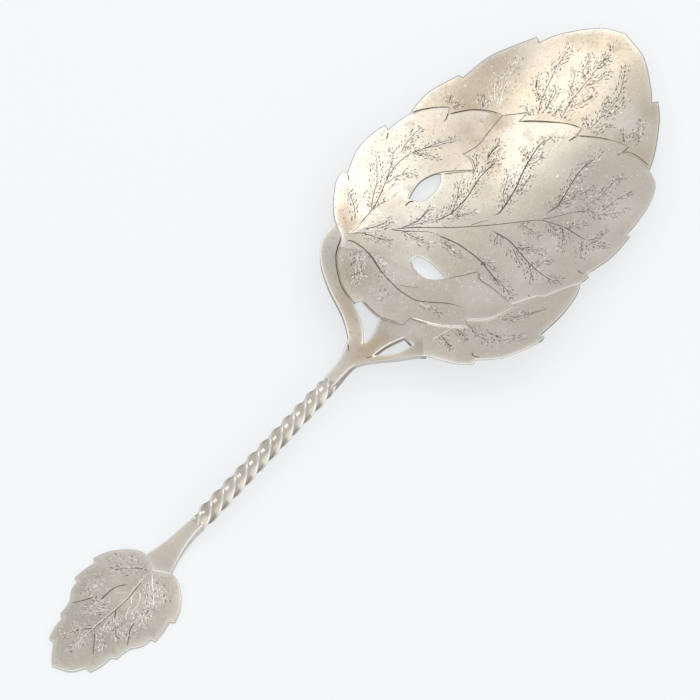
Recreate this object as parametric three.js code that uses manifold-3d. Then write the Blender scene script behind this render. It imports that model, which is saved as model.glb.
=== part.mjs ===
// Leaf-form fruit spoon. Five serrated leaves, lapped over one another, are pressed to one shallow bowl.
// A flat three-tined fork carries the bowl on a twisted square bar, and a tapered tail joins the bar
// to a small flat leaf at the end of the handle.
// Millimetres, +Z up, +X from the small leaf to the tip of the bowl.

import * as THREE from 'three';
import { mergeVertices } from 'three/addons/utils/BufferGeometryUtils.js';
import Module from 'manifold-3d';

const wasm = await Module();
wasm.setup();

// Lengths along the spoon, from the small leaf to the tip of the bowl
const TERMINAL_LENGTH = 34.7;
const TAIL_LENGTH = 15.5;
const STEM_LENGTH = 50.5;
const NECK_LENGTH = 9.3;
const BOWL_LENGTH = 126.6;

// Widths
const TERMINAL_WIDTH = 27;
const TAIL_WIDTH = 8.8;
const BAR_SIDE = 3.4;
const NECK_WIDTH = 4.1;
const BOWL_WIDTH = 77;

// Thicknesses; the two leaves at the back and the bottom form the rim and are of heavier sheet
const SHEET = 0.5;
const RIM_SHEET = 0.8;
const FORK_THICKNESS = 1.7;
const TERMINAL_THICKNESS = 1.2;
const TAIL_THICKNESS = 1.5;

// Clearances, filled with solder on the real spoon: between lapped sheets, and where ends meet
const LAP_GAP = 0.15;
const JOINT_GAP = 0.3;

// The bar's twist, left-handed, and the rounding of its corners
const TWIST_PITCH = 18;
const BAR_CORNER = 0.4;

// Heights: the bar's axis at its two ends, and the rise of the dish at the rim and at the tip
const STEM_HEIGHT_AT_TAIL = 4.4;
const STEM_HEIGHT_AT_FORK = 6.1;
const RIM_RISE = 9.2;
const TIP_RISE = 7.2;

// Where shapes ease into each other, measured along the spoon: the neck's line into the dish, before and
// after the crotch; the neck's opening before the crotch; the tail's ends beyond its own length
const BLEND_BEFORE = 6.7;
const BLEND_AFTER = 33.3;
const NECK_OPENING = 3.1;
const TAIL_INTO_LEAF = 3.1;
const TAIL_EASE = 3.9;

// The handle is a little off the bowl's line: sideways offsets and the small leaf's turn
const STEM_SWAY = 1;
const LEAF_SWAY = 2.5;
const LEAF_TURN = THREE.MathUtils.degToRad(1.8);
const TIP_SKEW = 1.3;

// Fineness of the facets
const PRESS_CELL = 4.5;
const CURVE_STEP = 2.2;
const STEPS_PER_TURN = 20;
const TAIL_STEPS = 8;
const CORNER_STEPS = 2;
const SAME_POINT = 1e-3;
const WELD = 1e-5;

// Height of the upright cutters, more than the spoon's own
const SAW_DEPTH = 90;

// Stations along X
const STEM_START = TERMINAL_LENGTH + TAIL_LENGTH;
const FORK_START = STEM_START + STEM_LENGTH;
const BOWL_START = FORK_START + NECK_LENGTH;
const BOWL_TIP = BOWL_START + BOWL_LENGTH;

// The sizes at which the outlines below are drawn, in millimetres
const DRAWN_BOWL = { length: 126.6, width: 77, centreX: 68, centreY: 2 };
const DRAWN_TERMINAL = { length: 34.7, width: 27 };

// Outlines of the bowl's pieces, drawn from the fork's crotch. Each line is one smooth stretch of the
// edge, and where a stretch starts away from the end of the last one there is the notch of a tooth.
const BACK_LEAF = [
  [[65, 33.5], [70, 35.6], [78, 35.8], [87.7, 33.2]],
  [[87.9, 32.1], [98.7, 30.3], [111.1, 24.5]],
  [[110.4, 23], [116.3, 19.9], [123.9, 12.8], [126.6, 6.2]],
  [[126.6, 6.2], [123.7, -2.1], [117.3, -9.1], [113.3, -12.3]],
  [[114.4, -13.5], [109.2, -17.7], [99, -23.2], [92, -25.5]],
  [[92, -25.5], [91.5, -14], [91, -1.5], [87, 9.5], [79, 19], [65, 33.5]],
];

const UPPER_LEFT_LEAF = [
  [[26.9, 25.1], [29.9, 30.2], [37.3, 35.6], [42, 36.9]],
  [[42.6, 35.7], [49.4, 38.1], [56, 38.5], [61.3, 37.7]],
  [[61, 36.4], [68, 35.5], [74.7, 32.3], [78.4, 29.2]],
  [[76.7, 28.1], [82.7, 23.9], [86.8, 17.5]],
  [[86.8, 17.5], [79.7, 17.2], [75.4, 16.9], [70.4, 18.1]],
  [[70.4, 18.1], [70.2, 15.6], [68.4, 13.2]],
  [[68.4, 13.2], [61.9, 19], [55.7, 21.2], [49.3, 20.3]],
  [[49.3, 20.3], [37.3, 22.2], [26.9, 25.1]],
];

const CENTRE_LEAF = [
  [[82.5, 20.5], [86.8, 17.5], [91.7, 13.1]],
  [[88.4, 13], [95, 3.9], [96.7, -1.5]],
  [[94.1, -1.7], [97.7, -9.9], [98.3, -15.5]],
  [[95.8, -15.1], [96.1, -20.6], [91.6, -28.4], [85.3, -31.5], [76.9, -32.7], [73, -32.6]],
  [[72.5, -33.9], [65.2, -34], [59, -32.5], [56.7, -31.7]],
  [[56, -32.8], [53, -32.1], [49.8, -29.7], [45, -27]],
  [[44, -25], [38.5, -21.5], [29, -16.5], [24, -10], [21.5, -4], [19.5, 3], [18.5, 9], [22, 18], [26.1, 23.2]],
  [[26.1, 23.2], [31.5, 24.5], [35, 29], [42, 33.5], [55, 35.5], [67, 33], [75, 28.5], [82.5, 20.5]],
];

const LOWER_LEFT_LEAF = [
  [[26.2, 24.4], [20.8, 21.7], [15.3, 16], [12.8, 10.8], [12.4, 9.4]],
  [[14.2, 8.7], [13.4, 5.8], [13, 1.6], [15.1, -4.2]],
  [[18.2, -4.1], [20, -9.8], [22.3, -13.8], [25.3, -17.5]],
  [[26.9, -15.5], [31.2, -20.4], [38.4, -23.2]],
  [[38.4, -23.2], [38.3, -20.2], [40, -13.9], [40.5, -9.1]],
  [[42.8, -7.6], [35.6, -2.4], [32.7, 0.6], [32.1, 3], [33, 6], [34.2, 7.6]],
  [[34.2, 7.6], [31.7, 17], [26.2, 24.4]],
];

const BOTTOM_LEAF = [
  [[22.4, -6.2], [11, -14.8]],
  [[11, -14.8], [13.7, -21.8], [16, -25.7]],
  [[17.6, -25.5], [22.1, -31.1], [30, -35.5], [32.6, -35.7]],
  [[33, -34.3], [41.9, -34.7], [50.7, -33.4], [55, -30.5]],
  [[55, -30.5], [46, -22.5], [38, -19], [29, -13], [22.4, -6.2]],
];

// The two eye-shaped piercings of the centre leaf; the leaf lapped over each one trims its outer edge
const UPPER_EYE = [
  [[49.2, 20.6], [52.2, 21.9], [55.7, 22], [58.9, 21.3], [61.4, 19]],
  [[61.4, 19], [59, 17.5], [56.2, 16.9], [52.9, 17], [50.8, 17.8], [49.2, 20.6]],
];
const LOWER_EYE = [
  [[35.2, -2.6], [32.1, 0.4], [31.4, 3], [32.3, 6.3], [34, 8]],
  [[34, 8], [35.7, 8.1], [37, 7.2], [37.4, 4.1], [36.3, -0.6], [35.2, -2.6]],
];

// The fork from its crotch on, round its tines; its square neck is added from the neck's own sizes, and
// its pad follows the bottom leaf's straight edge from a share of that edge's length
const FORK_EDGES = [
  [[3, 4], [7.4, 9.5], [11.8, 17.5], [16.4, 23.7], [21.9, 27.6], [29.5, 28.9]],
  [[29.2, 26.2], [25.5, 23.4], [21.5, 20.6], [16.6, 15.2], [12.2, 9.2], [8.4, 3.6], [4.5, 0.2]],
  [[5.1, -0.1], [8.1, 0], [12.9, 1.5], [17, 1.8]],
  [[17, 1.8], [18.3, -2.5], [18.8, -8.5]],
];
const PAD_CORNER = 0.28;
const FORK_LOWER_EDGE = [[9.3, -12.6], [6.3, -10.1], [2.8, -6.4], [0.1, -3.8]];
const FORK_SLOT = [
  [[3.2, -4.4], [5.5, -4.7], [8.2, -5.4], [12.2, -6.9]],
  [[11.4, -9.9], [8.8, -9.1], [6.2, -7.6], [3.2, -4.4]],
];

// Half the small leaf's edge, from the notch at its base to its last tooth: along and across
const TERMINAL_HALF = [
  [[0, 0], [-1.5, 2.7], [-2.2, 5], [-0.5, 7.5], [1.2, 9.9], [3.7, 12.1], [7, 13.5]],
  [[7.8, 12.4], [11, 13.1], [13.9, 13.3]],
  [[14.2, 12.1], [16.7, 11.7], [19.3, 9.9]],
  [[19.3, 9.9], [21.1, 9.5], [23.3, 9.3]],
  [[24, 8.1], [27, 7.8], [29.9, 6.8]],
];
const TERMINAL_TIP_SIDE = [[29.9, 5.3], [33, 3]];

// One smooth stretch of an edge as points about CURVE_STEP apart
function stretchPoints(points) {
  if (points.length === 2) {
    return points;
  }
  const curve = new THREE.SplineCurve(points);
  const count = Math.max(2, Math.round(curve.getLength() / CURVE_STEP));
  return curve.getPoints(count);
}

// A closed edge from its stretches, without the points that two stretches share
function closedEdge(stretches, place) {
  return stretches
    .flatMap((stretch) => stretchPoints(stretch.map(([x, y]) => place(x, y))))
    .filter((point, i, all) => point.distanceTo(all[(i + 1) % all.length]) > SAME_POINT);
}

// A point of the bowl's drawing at the bowl's own size
function onBowl(x, y) {
  return new THREE.Vector2(
    BOWL_START + x * (BOWL_LENGTH / DRAWN_BOWL.length),
    y * (BOWL_WIDTH / DRAWN_BOWL.width),
  );
}

// A point of the small leaf's drawing on the spoon: the leaf points away from the bowl
function onTerminal(along, across) {
  const a = along * (TERMINAL_LENGTH / DRAWN_TERMINAL.length);
  const c = across * (TERMINAL_WIDTH / DRAWN_TERMINAL.width);
  const point = new THREE.Vector2(-a, c).rotateAround(new THREE.Vector2(), -LEAF_TURN);
  return point.add(new THREE.Vector2(TERMINAL_LENGTH, LEAF_SWAY));
}

// An edge moved outwards by a clearance, each point along the bisector of its two sides
function grown(points, clearance) {
  const turn = THREE.ShapeUtils.isClockWise(points) ? -1 : 1;
  return points.map((point, i) => {
    const before = points[(i + points.length - 1) % points.length];
    const after = points[(i + 1) % points.length];
    const side = after.clone().sub(before).normalize();
    return new THREE.Vector2(point.x + turn * side.y * clearance, point.y - turn * side.x * clearance);
  });
}

function toSolid(geometry) {
  const bare = geometry.clone();
  bare.deleteAttribute('normal');
  bare.deleteAttribute('uv');
  const merged = mergeVertices(bare, WELD);
  return new wasm.Manifold(new wasm.Mesh({
    numProp: 3,
    vertProperties: new Float32Array(merged.attributes.position.array),
    triVerts: new Uint32Array(merged.index.array),
  }));
}

function toGeometry(solid) {
  const mesh = solid.getMesh();
  const geometry = new THREE.BufferGeometry();
  geometry.setAttribute('position', new THREE.Float32BufferAttribute(mesh.vertProperties, mesh.numProp));
  geometry.setIndex(new THREE.Uint32BufferAttribute(mesh.triVerts, 1));
  geometry.computeVertexNormals();
  return geometry;
}

// An upright prism over a closed edge, taller than the spoon, to saw a piece out with
function sawCut(edge) {
  const plan = new THREE.Shape(edge);
  const geometry = new THREE.ExtrudeGeometry(plan, { depth: SAW_DEPTH, bevelEnabled: false });
  geometry.translate(0, 0, -SAW_DEPTH / 2);
  return toSolid(geometry);
}

// Height of the bar's axis, carried on past both of its ends
function stemAxis(x) {
  const share = (x - STEM_START) / STEM_LENGTH;
  return THREE.MathUtils.lerp(STEM_HEIGHT_AT_TAIL, STEM_HEIGHT_AT_FORK, share);
}

// The pressed face that the centre leaf and the fork share: the neck's line at the handle, easing into
// a dish that rises with the square of the distance from its lowest point
function pressedFace(x, y) {
  const centre = onBowl(DRAWN_BOWL.centreX, DRAWN_BOWL.centreY);
  const along = (x - centre.x) / (BOWL_TIP - centre.x);
  const across = (y - centre.y) / (BOWL_WIDTH / 2);
  const dish = SHEET + TIP_RISE * along * along + RIM_RISE * across * across;
  const neck = stemAxis(x) + BAR_SIDE / 2;
  const share = THREE.MathUtils.smoothstep(x, BOWL_START - BLEND_BEFORE, BOWL_START + BLEND_AFTER);
  return THREE.MathUtils.lerp(neck, dish, share);
}

// Pressed metal between two faces, over the whole plan of the bowl and neck
function pressedMetal(underFace, overFace) {
  const margin = PRESS_CELL;
  const length = NECK_LENGTH + BOWL_LENGTH + 2 * margin;
  const width = BOWL_WIDTH + 2 * margin;
  const columns = Math.round(length / PRESS_CELL);
  const rows = Math.round(width / PRESS_CELL);
  const geometry = new THREE.BoxGeometry(length, width, 1, columns, rows, 1);
  geometry.translate(FORK_START - margin + length / 2, 0, 0);
  const position = geometry.attributes.position;
  for (let i = 0; i < position.count; i += 1) {
    const face = position.getZ(i) < 0 ? underFace : overFace;
    position.setZ(i, face(position.getX(i), position.getY(i)));
  }
  return toSolid(geometry);
}

// One leaf of the bowl, sawn from a sheet that lies a number of laps above the centre leaf
function bowlLeaf(stretches, lapsUp, sheet, piercings = []) {
  const lift = lapsUp * (SHEET + LAP_GAP);
  const over = (x, y) => pressedFace(x, y) + lift;
  const under = (x, y) => over(x, y) - sheet;
  const leaf = pressedMetal(under, over).intersect(sawCut(closedEdge(stretches, onBowl)));
  return piercings.reduce((solid, eye) => solid.subtract(sawCut(closedEdge(eye, onBowl))), leaf);
}

// The flat fork: its neck is as deep as the bar and thins to the fork's own thickness at the crotch.
// Its pad ends a joint's gap short of the bottom leaf's straight edge.
function fork() {
  const over = pressedFace;
  const under = (x, y) => {
    const share = THREE.MathUtils.smoothstep(x, FORK_START, BOWL_START);
    return over(x, y) - THREE.MathUtils.lerp(BAR_SIDE, FORK_THICKNESS, share);
  };
  const start = FORK_START + JOINT_GAP / 2;
  const opening = BOWL_START - NECK_OPENING;
  const edge = [
    new THREE.Vector2(start, BAR_SIDE / 2),
    new THREE.Vector2(opening, NECK_WIDTH / 2),
    ...closedEdge([...FORK_EDGES, padEnd(), FORK_LOWER_EDGE], onBowl),
    new THREE.Vector2(opening, -NECK_WIDTH / 2),
    new THREE.Vector2(start, -BAR_SIDE / 2),
  ];
  return pressedMetal(under, over)
    .intersect(sawCut(edge))
    .subtract(sawCut(closedEdge(FORK_SLOT, onBowl)));
}

// The pad's end, parallel to the bottom leaf's straight edge
function padEnd() {
  const [top, bottom] = BOTTOM_LEAF[0].map(([x, y]) => new THREE.Vector2(x, y));
  const along = bottom.clone().sub(top).normalize();
  const away = new THREE.Vector2(along.y, -along.x).multiplyScalar(JOINT_GAP);
  const upper = top.lerp(bottom, PAD_CORNER).add(away);
  const lower = bottom.add(away);
  return [[upper.x, upper.y], [lower.x, lower.y]];
}

// A square bar with rounded corners, twisted about its own length
function twistedStem() {
  const flat = BAR_SIDE / 2 - BAR_CORNER;
  const section = new THREE.Shape();
  for (let corner = 0; corner < 4; corner += 1) {
    const turn = corner * Math.PI / 2;
    const centre = new THREE.Vector2(flat, flat).rotateAround(new THREE.Vector2(), turn);
    section.absarc(centre.x, centre.y, BAR_CORNER, turn, turn + Math.PI / 2, false);
  }
  const from = new THREE.Vector3(STEM_START, STEM_SWAY, STEM_HEIGHT_AT_TAIL);
  const to = new THREE.Vector3(FORK_START, 0, STEM_HEIGHT_AT_FORK);
  const axis = to.clone().sub(from);
  const length = axis.length() - JOINT_GAP;
  const geometry = new THREE.ExtrudeGeometry(section, {
    depth: length,
    steps: Math.ceil(STEPS_PER_TURN * length / TWIST_PITCH),
    curveSegments: CORNER_STEPS,
    bevelEnabled: false,
  });
  const position = geometry.attributes.position;
  const point = new THREE.Vector3();
  const along = new THREE.Vector3(0, 0, 1);
  for (let i = 0; i < position.count; i += 1) {
    point.fromBufferAttribute(position, i);
    point.applyAxisAngle(along, -2 * Math.PI * (point.z - length) / TWIST_PITCH);
    position.setXYZ(i, point.x, point.y, point.z);
  }
  geometry.translate(0, 0, JOINT_GAP / 2);
  const turned = new THREE.Matrix4().lookAt(to, from, new THREE.Vector3(0, 0, 1));
  geometry.applyMatrix4(turned);
  geometry.translate(from.x, from.y, from.z);
  return toSolid(geometry);
}

// The whole edge of the small leaf: one half, the skewed tip and the other half mirrored
function terminalEdge() {
  const mirrored = (stretch) => stretch.map(([along, across]) => [along, -across]).reverse();
  const tip = [DRAWN_TERMINAL.length, TIP_SKEW];
  const left = [...TERMINAL_HALF, [...TERMINAL_TIP_SIDE, tip]];
  const right = [[tip, ...mirrored(TERMINAL_TIP_SIDE)], ...TERMINAL_HALF.map(mirrored).reverse()];
  return closedEdge([...left, ...right], onTerminal);
}

function terminalLeaf() {
  const plate = { depth: TERMINAL_THICKNESS, bevelEnabled: false };
  return toSolid(new THREE.ExtrudeGeometry(new THREE.Shape(terminalEdge()), plate));
}

// The tail in plan: concave sides that narrow from the small leaf to the bar, on the handle's line
function tailEdge(from, to) {
  const sides = [[], []];
  for (let i = 0; i <= TAIL_STEPS; i += 1) {
    const share = i / TAIL_STEPS;
    const x = THREE.MathUtils.lerp(from, to, share);
    const middle = THREE.MathUtils.lerp(LEAF_SWAY, STEM_SWAY, share * share);
    const half = THREE.MathUtils.lerp(BAR_SIDE, TAIL_WIDTH, (1 - share) * (1 - share)) / 2;
    sides[0].push(new THREE.Vector2(x, middle - half));
    sides[1].push(new THREE.Vector2(x, middle + half));
  }
  return [...sides[0], ...sides[1].reverse()];
}

// The tail from the side: it lies flat at the small leaf and rises to the bar, growing as deep as it
function tailSide(from, to) {
  const under = [];
  const over = [];
  for (let i = 0; i <= TAIL_STEPS; i += 1) {
    const x = THREE.MathUtils.lerp(from, to, i / TAIL_STEPS);
    const share = THREE.MathUtils.smoothstep(x, TERMINAL_LENGTH, STEM_START + TAIL_EASE);
    const bottom = share * (stemAxis(x) - BAR_SIDE / 2);
    under.push(new THREE.Vector2(x, bottom));
    over.push(new THREE.Vector2(x, bottom + THREE.MathUtils.lerp(TAIL_THICKNESS, BAR_SIDE, share)));
  }
  return [...under, ...over.reverse()];
}

// The tail is cut to the small leaf's heart-shaped base, a joint's gap away from it
function tailPlate() {
  const from = TERMINAL_LENGTH - TAIL_INTO_LEAF;
  const to = STEM_START - JOINT_GAP / 2;
  const side = new THREE.Shape(tailSide(from, to));
  const bent = new THREE.ExtrudeGeometry(side, { depth: SAW_DEPTH, bevelEnabled: false });
  bent.translate(0, 0, -SAW_DEPTH / 2);
  bent.rotateX(Math.PI / 2);
  return toSolid(bent)
    .intersect(sawCut(tailEdge(from, to)))
    .subtract(sawCut(grown(terminalEdge(), JOINT_GAP)));
}

const PIECES = [
  ['back_leaf', bowlLeaf(BACK_LEAF, -1, RIM_SHEET), 0xcfc7b4, 0.42],
  ['upper_left_leaf', bowlLeaf(UPPER_LEFT_LEAF, 1, SHEET), 0xd8d1bf, 0.4],
  ['centre_leaf', bowlLeaf(CENTRE_LEAF, 0, SHEET, [UPPER_EYE, LOWER_EYE]), 0xc8c2b2, 0.42],
  ['lower_left_leaf', bowlLeaf(LOWER_LEFT_LEAF, 1, SHEET), 0xbfb8a9, 0.44],
  ['bottom_leaf', bowlLeaf(BOTTOM_LEAF, -1, RIM_SHEET), 0xbcb4a6, 0.44],
  ['fork', fork(), 0xbab2a3, 0.46],
  ['twisted_stem', twistedStem(), 0xc2bbab, 0.32],
  ['tail_plate', tailPlate(), 0xc4bcac, 0.4],
  ['terminal_leaf', terminalLeaf(), 0xbdb5a7, 0.44],
];

const spoon = new THREE.Group();
for (const [name, solid, color, roughness] of PIECES) {
  const mesh = new THREE.Mesh(
    toGeometry(solid),
    new THREE.MeshStandardMaterial({ color, roughness, metalness: 1 }),
  );
  mesh.name = name;
  spoon.add(mesh);
}

// The origin lies under the middle of the spoon, on the surface that it rests on
const box = new THREE.Box3().setFromObject(spoon);
spoon.position.set(-(box.min.x + box.max.x) / 2, -(box.min.y + box.max.y) / 2, -box.min.z);

export default spoon;
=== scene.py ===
# %% [markdown]
# A leaf-form fruit spoon in old silver. Five serrated leaves lap over one another and are pressed to
# one shallow bowl; a pierced fork carries the bowl on a twisted bar, and a tapered tail joins the bar
# to a small flat leaf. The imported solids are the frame: they give every place and size. Each visible
# piece here stands for one of those solids, with finer edges, engraving cut into the metal, and silver
# that has tarnished in the cuts.

# %% Load the frame
import math

import bpy
import numpy as np
from mathutils import Matrix, Vector
from mathutils.geometry import delaunay_2d_cdt


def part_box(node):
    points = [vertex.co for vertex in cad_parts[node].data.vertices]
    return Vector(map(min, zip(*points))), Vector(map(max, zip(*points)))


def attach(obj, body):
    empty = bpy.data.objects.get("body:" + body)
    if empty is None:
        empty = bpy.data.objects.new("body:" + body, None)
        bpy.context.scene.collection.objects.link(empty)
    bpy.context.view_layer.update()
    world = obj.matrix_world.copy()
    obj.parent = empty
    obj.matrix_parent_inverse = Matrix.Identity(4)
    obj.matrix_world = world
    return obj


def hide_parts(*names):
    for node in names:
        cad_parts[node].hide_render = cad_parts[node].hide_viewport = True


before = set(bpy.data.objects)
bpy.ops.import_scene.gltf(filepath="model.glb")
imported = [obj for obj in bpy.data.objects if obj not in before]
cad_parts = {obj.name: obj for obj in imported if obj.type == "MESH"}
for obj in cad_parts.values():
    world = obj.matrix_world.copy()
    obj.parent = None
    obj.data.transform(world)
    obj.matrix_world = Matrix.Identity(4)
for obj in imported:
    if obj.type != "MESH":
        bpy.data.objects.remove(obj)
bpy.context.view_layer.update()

print("solids:", sorted(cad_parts))

# %% [markdown]
# The drawing is in millimetres, with x from the end of the small leaf to the tip of the bowl and y = 0
# on the bar. Blender's frame is in metres from the middle of the spoon, so one function does the step
# between the two, and every other function stays in the drawing's own units.

# %% Sizes shared by the pieces, and the step to Blender's frame
MILLIMETRE = 0.001
ORIGIN = np.array([118.329, 1.322, 0.0])
TERMINAL_END = 34.7
STEM_START, FORK_START, BOWL_START, BOWL_TIP = 50.2, 100.7, 110.0, 236.6
BAR_SIDE = 3.4
SHEET, LAP_GAP = 0.5, 0.15
LAP = SHEET + LAP_GAP
RIM_SHEET = 0.8
SEEN_LAP = 0.18


def to_frame(points):
    """Millimetres in the drawing to metres in the frame."""
    return (np.asarray(points, float) - ORIGIN) * MILLIMETRE


def smoothstep(x, low, high):
    """0 below low, 1 above high, and 3t^2 - 2t^3 between them."""
    t = np.clip((np.asarray(x, float) - low) / (high - low), 0, 1)
    return t * t * (3 - 2 * t)


fork_in_frame, fork_as_drawn = float(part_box("fork")[0].x), to_frame((FORK_START, 0, 0))[0]
print("fork starts at", round(fork_in_frame, 4), "m, drawn at", round(fork_as_drawn, 4))

# %% [markdown]
# The camera looks down on the spoon from above and in front, as the photograph does. Its place comes
# from the angle of view, the distance and the point of the spoon that lies in the middle of the
# picture, so those four numbers are all that has to be tuned.

# %% The camera
CAMERA_TURN, CAMERA_RISE = math.radians(51.6), math.radians(58.0)
CAMERA_DISTANCE = 753.5
LENS, SENSOR = 152.6, 36
AIM = np.array([112.67, 3.1, 4.0])


def view_axes():
    """Right, up and forward unit vectors of a camera that is turned about Z and tipped down."""
    ground = np.array([math.sin(CAMERA_TURN), math.cos(CAMERA_TURN), 0.0])
    right = np.array([math.cos(CAMERA_TURN), -math.sin(CAMERA_TURN), 0.0])
    rise = np.array([0.0, 0.0, 1.0])
    forward = math.cos(CAMERA_RISE) * ground - math.sin(CAMERA_RISE) * rise
    up = math.sin(CAMERA_RISE) * ground + math.cos(CAMERA_RISE) * rise
    return right, up, forward


def add_camera():
    right, up, forward = view_axes()
    lens = bpy.data.cameras.new("view")
    lens.sensor_width = SENSOR
    lens.lens = LENS
    lens.clip_start, lens.clip_end = 0.01, 20
    camera = bpy.data.objects.new("view", lens)
    place = Matrix.Identity(4)
    place.col[0].xyz, place.col[1].xyz, place.col[2].xyz = right, up, -forward
    place.col[3].xyz = to_frame(AIM - CAMERA_DISTANCE * forward)
    camera.matrix_world = place
    bpy.context.scene.collection.objects.link(camera)
    bpy.context.scene.camera = camera
    return camera


print("camera at", [round(v, 3) for v in add_camera().location])

# %% [markdown]
# Shader maths reads best as plain expressions. A Wire holds one socket; adding, taking away or
# multiplying wires adds the Math node for it, and make() adds any other node.


# %% Wires: shader nodes as expressions
class Wire:
    """One output socket of a node tree, usable in sums and products."""

    def __init__(self, tree, socket):
        self.tree, self.socket = tree, socket

    def make(self, kind, settings=None, inputs=None, out=0):
        node = self.tree.nodes.new(kind)
        for key, value in (settings or {}).items():
            setattr(node, key, value)
        for key, value in (inputs or {}).items():
            self.plug(node.inputs[key], value)
        return Wire(self.tree, node.outputs[out])

    def plug(self, socket, value):
        if isinstance(value, Wire):
            self.tree.links.new(value.socket, socket)
        else:
            socket.default_value = value

    def math(self, operation, *values, clamp=False):
        node = {"operation": operation, "use_clamp": clamp}
        return self.make("ShaderNodeMath", node, dict(enumerate(values)))

    def __add__(self, other):
        return self.math("ADD", self, other)

    __radd__ = __add__

    def __sub__(self, other):
        return self.math("SUBTRACT", self, other)

    def __rsub__(self, other):
        return self.math("SUBTRACT", other, self)

    def __mul__(self, other):
        return self.math("MULTIPLY", self, other)

    __rmul__ = __mul__

    def ramp(self, low, high):
        """0 below low and 1 above high, easing in between."""
        settings = {"interpolation_type": "SMOOTHSTEP"}
        inputs = {"Value": self, "From Min": low, "From Max": high}
        return self.make("ShaderNodeMapRange", settings, inputs)

    def mix(self, first, second):
        """The first colour where this wire is 0, the second where it is 1."""
        inputs = {0: self, 6: first, 7: second}
        return self.make("ShaderNodeMix", {"data_type": "RGBA"}, inputs, out=2)


def new_material(name):
    """A material with an empty tree, its shader and a wire to start from."""
    material = bpy.data.materials.new(name)
    material.use_nodes = True
    tree = material.node_tree
    shader = tree.nodes["Principled BSDF"]
    start = Wire(tree, tree.nodes.new("ShaderNodeTexCoord").outputs["Object"])
    return material, shader, start


print("wires ready")

# %% [markdown]
# Old silver is not one colour. The open metal is a warm satin grey with slow clouds of tarnish, fine
# specks, and hair scratches from polishing; the cuts hold dark brown patina or are cut bright with a
# painted glint, and the metal between the ferns' leaflets is cooler. Light and shade are painted too:
# edges are painted dark as shade where a leaf lies over another and along their foot, and painted bright
# as highlights and reflections on their walls; rubbed edges stay brighter, partly as wear and partly as
# a painted highlight. Where cuts, edges and ferns lie is known when a mesh is made, so the meshes carry it
# as three attributes, one for patina and painted light, one for wear and painted highlight and one for
# the ferns' cooler hue, and the material only has to read them.

# %% The silver finish
CLEAN_METAL, TARNISH = (0.95, 0.9, 0.81, 1), (0.42, 0.34, 0.24, 1)
SPECK, PATINA_AND_SHADE = (0.25, 0.2, 0.15, 1), (0.075, 0.058, 0.042, 1)
RUBBED_AND_HIGHLIGHT, BRIGHT_CUT_AND_HIGHLIGHT = (0.95, 0.92, 0.86, 1), (0.97, 0.95, 0.9, 1)
COOL_HUE, WARM_HUE = (0.935, 0.955, 0.958, 1), (1.0, 0.98, 0.958, 1)
MOST_SHARE = 0.9
HAIR_TURN = 0.6


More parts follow.
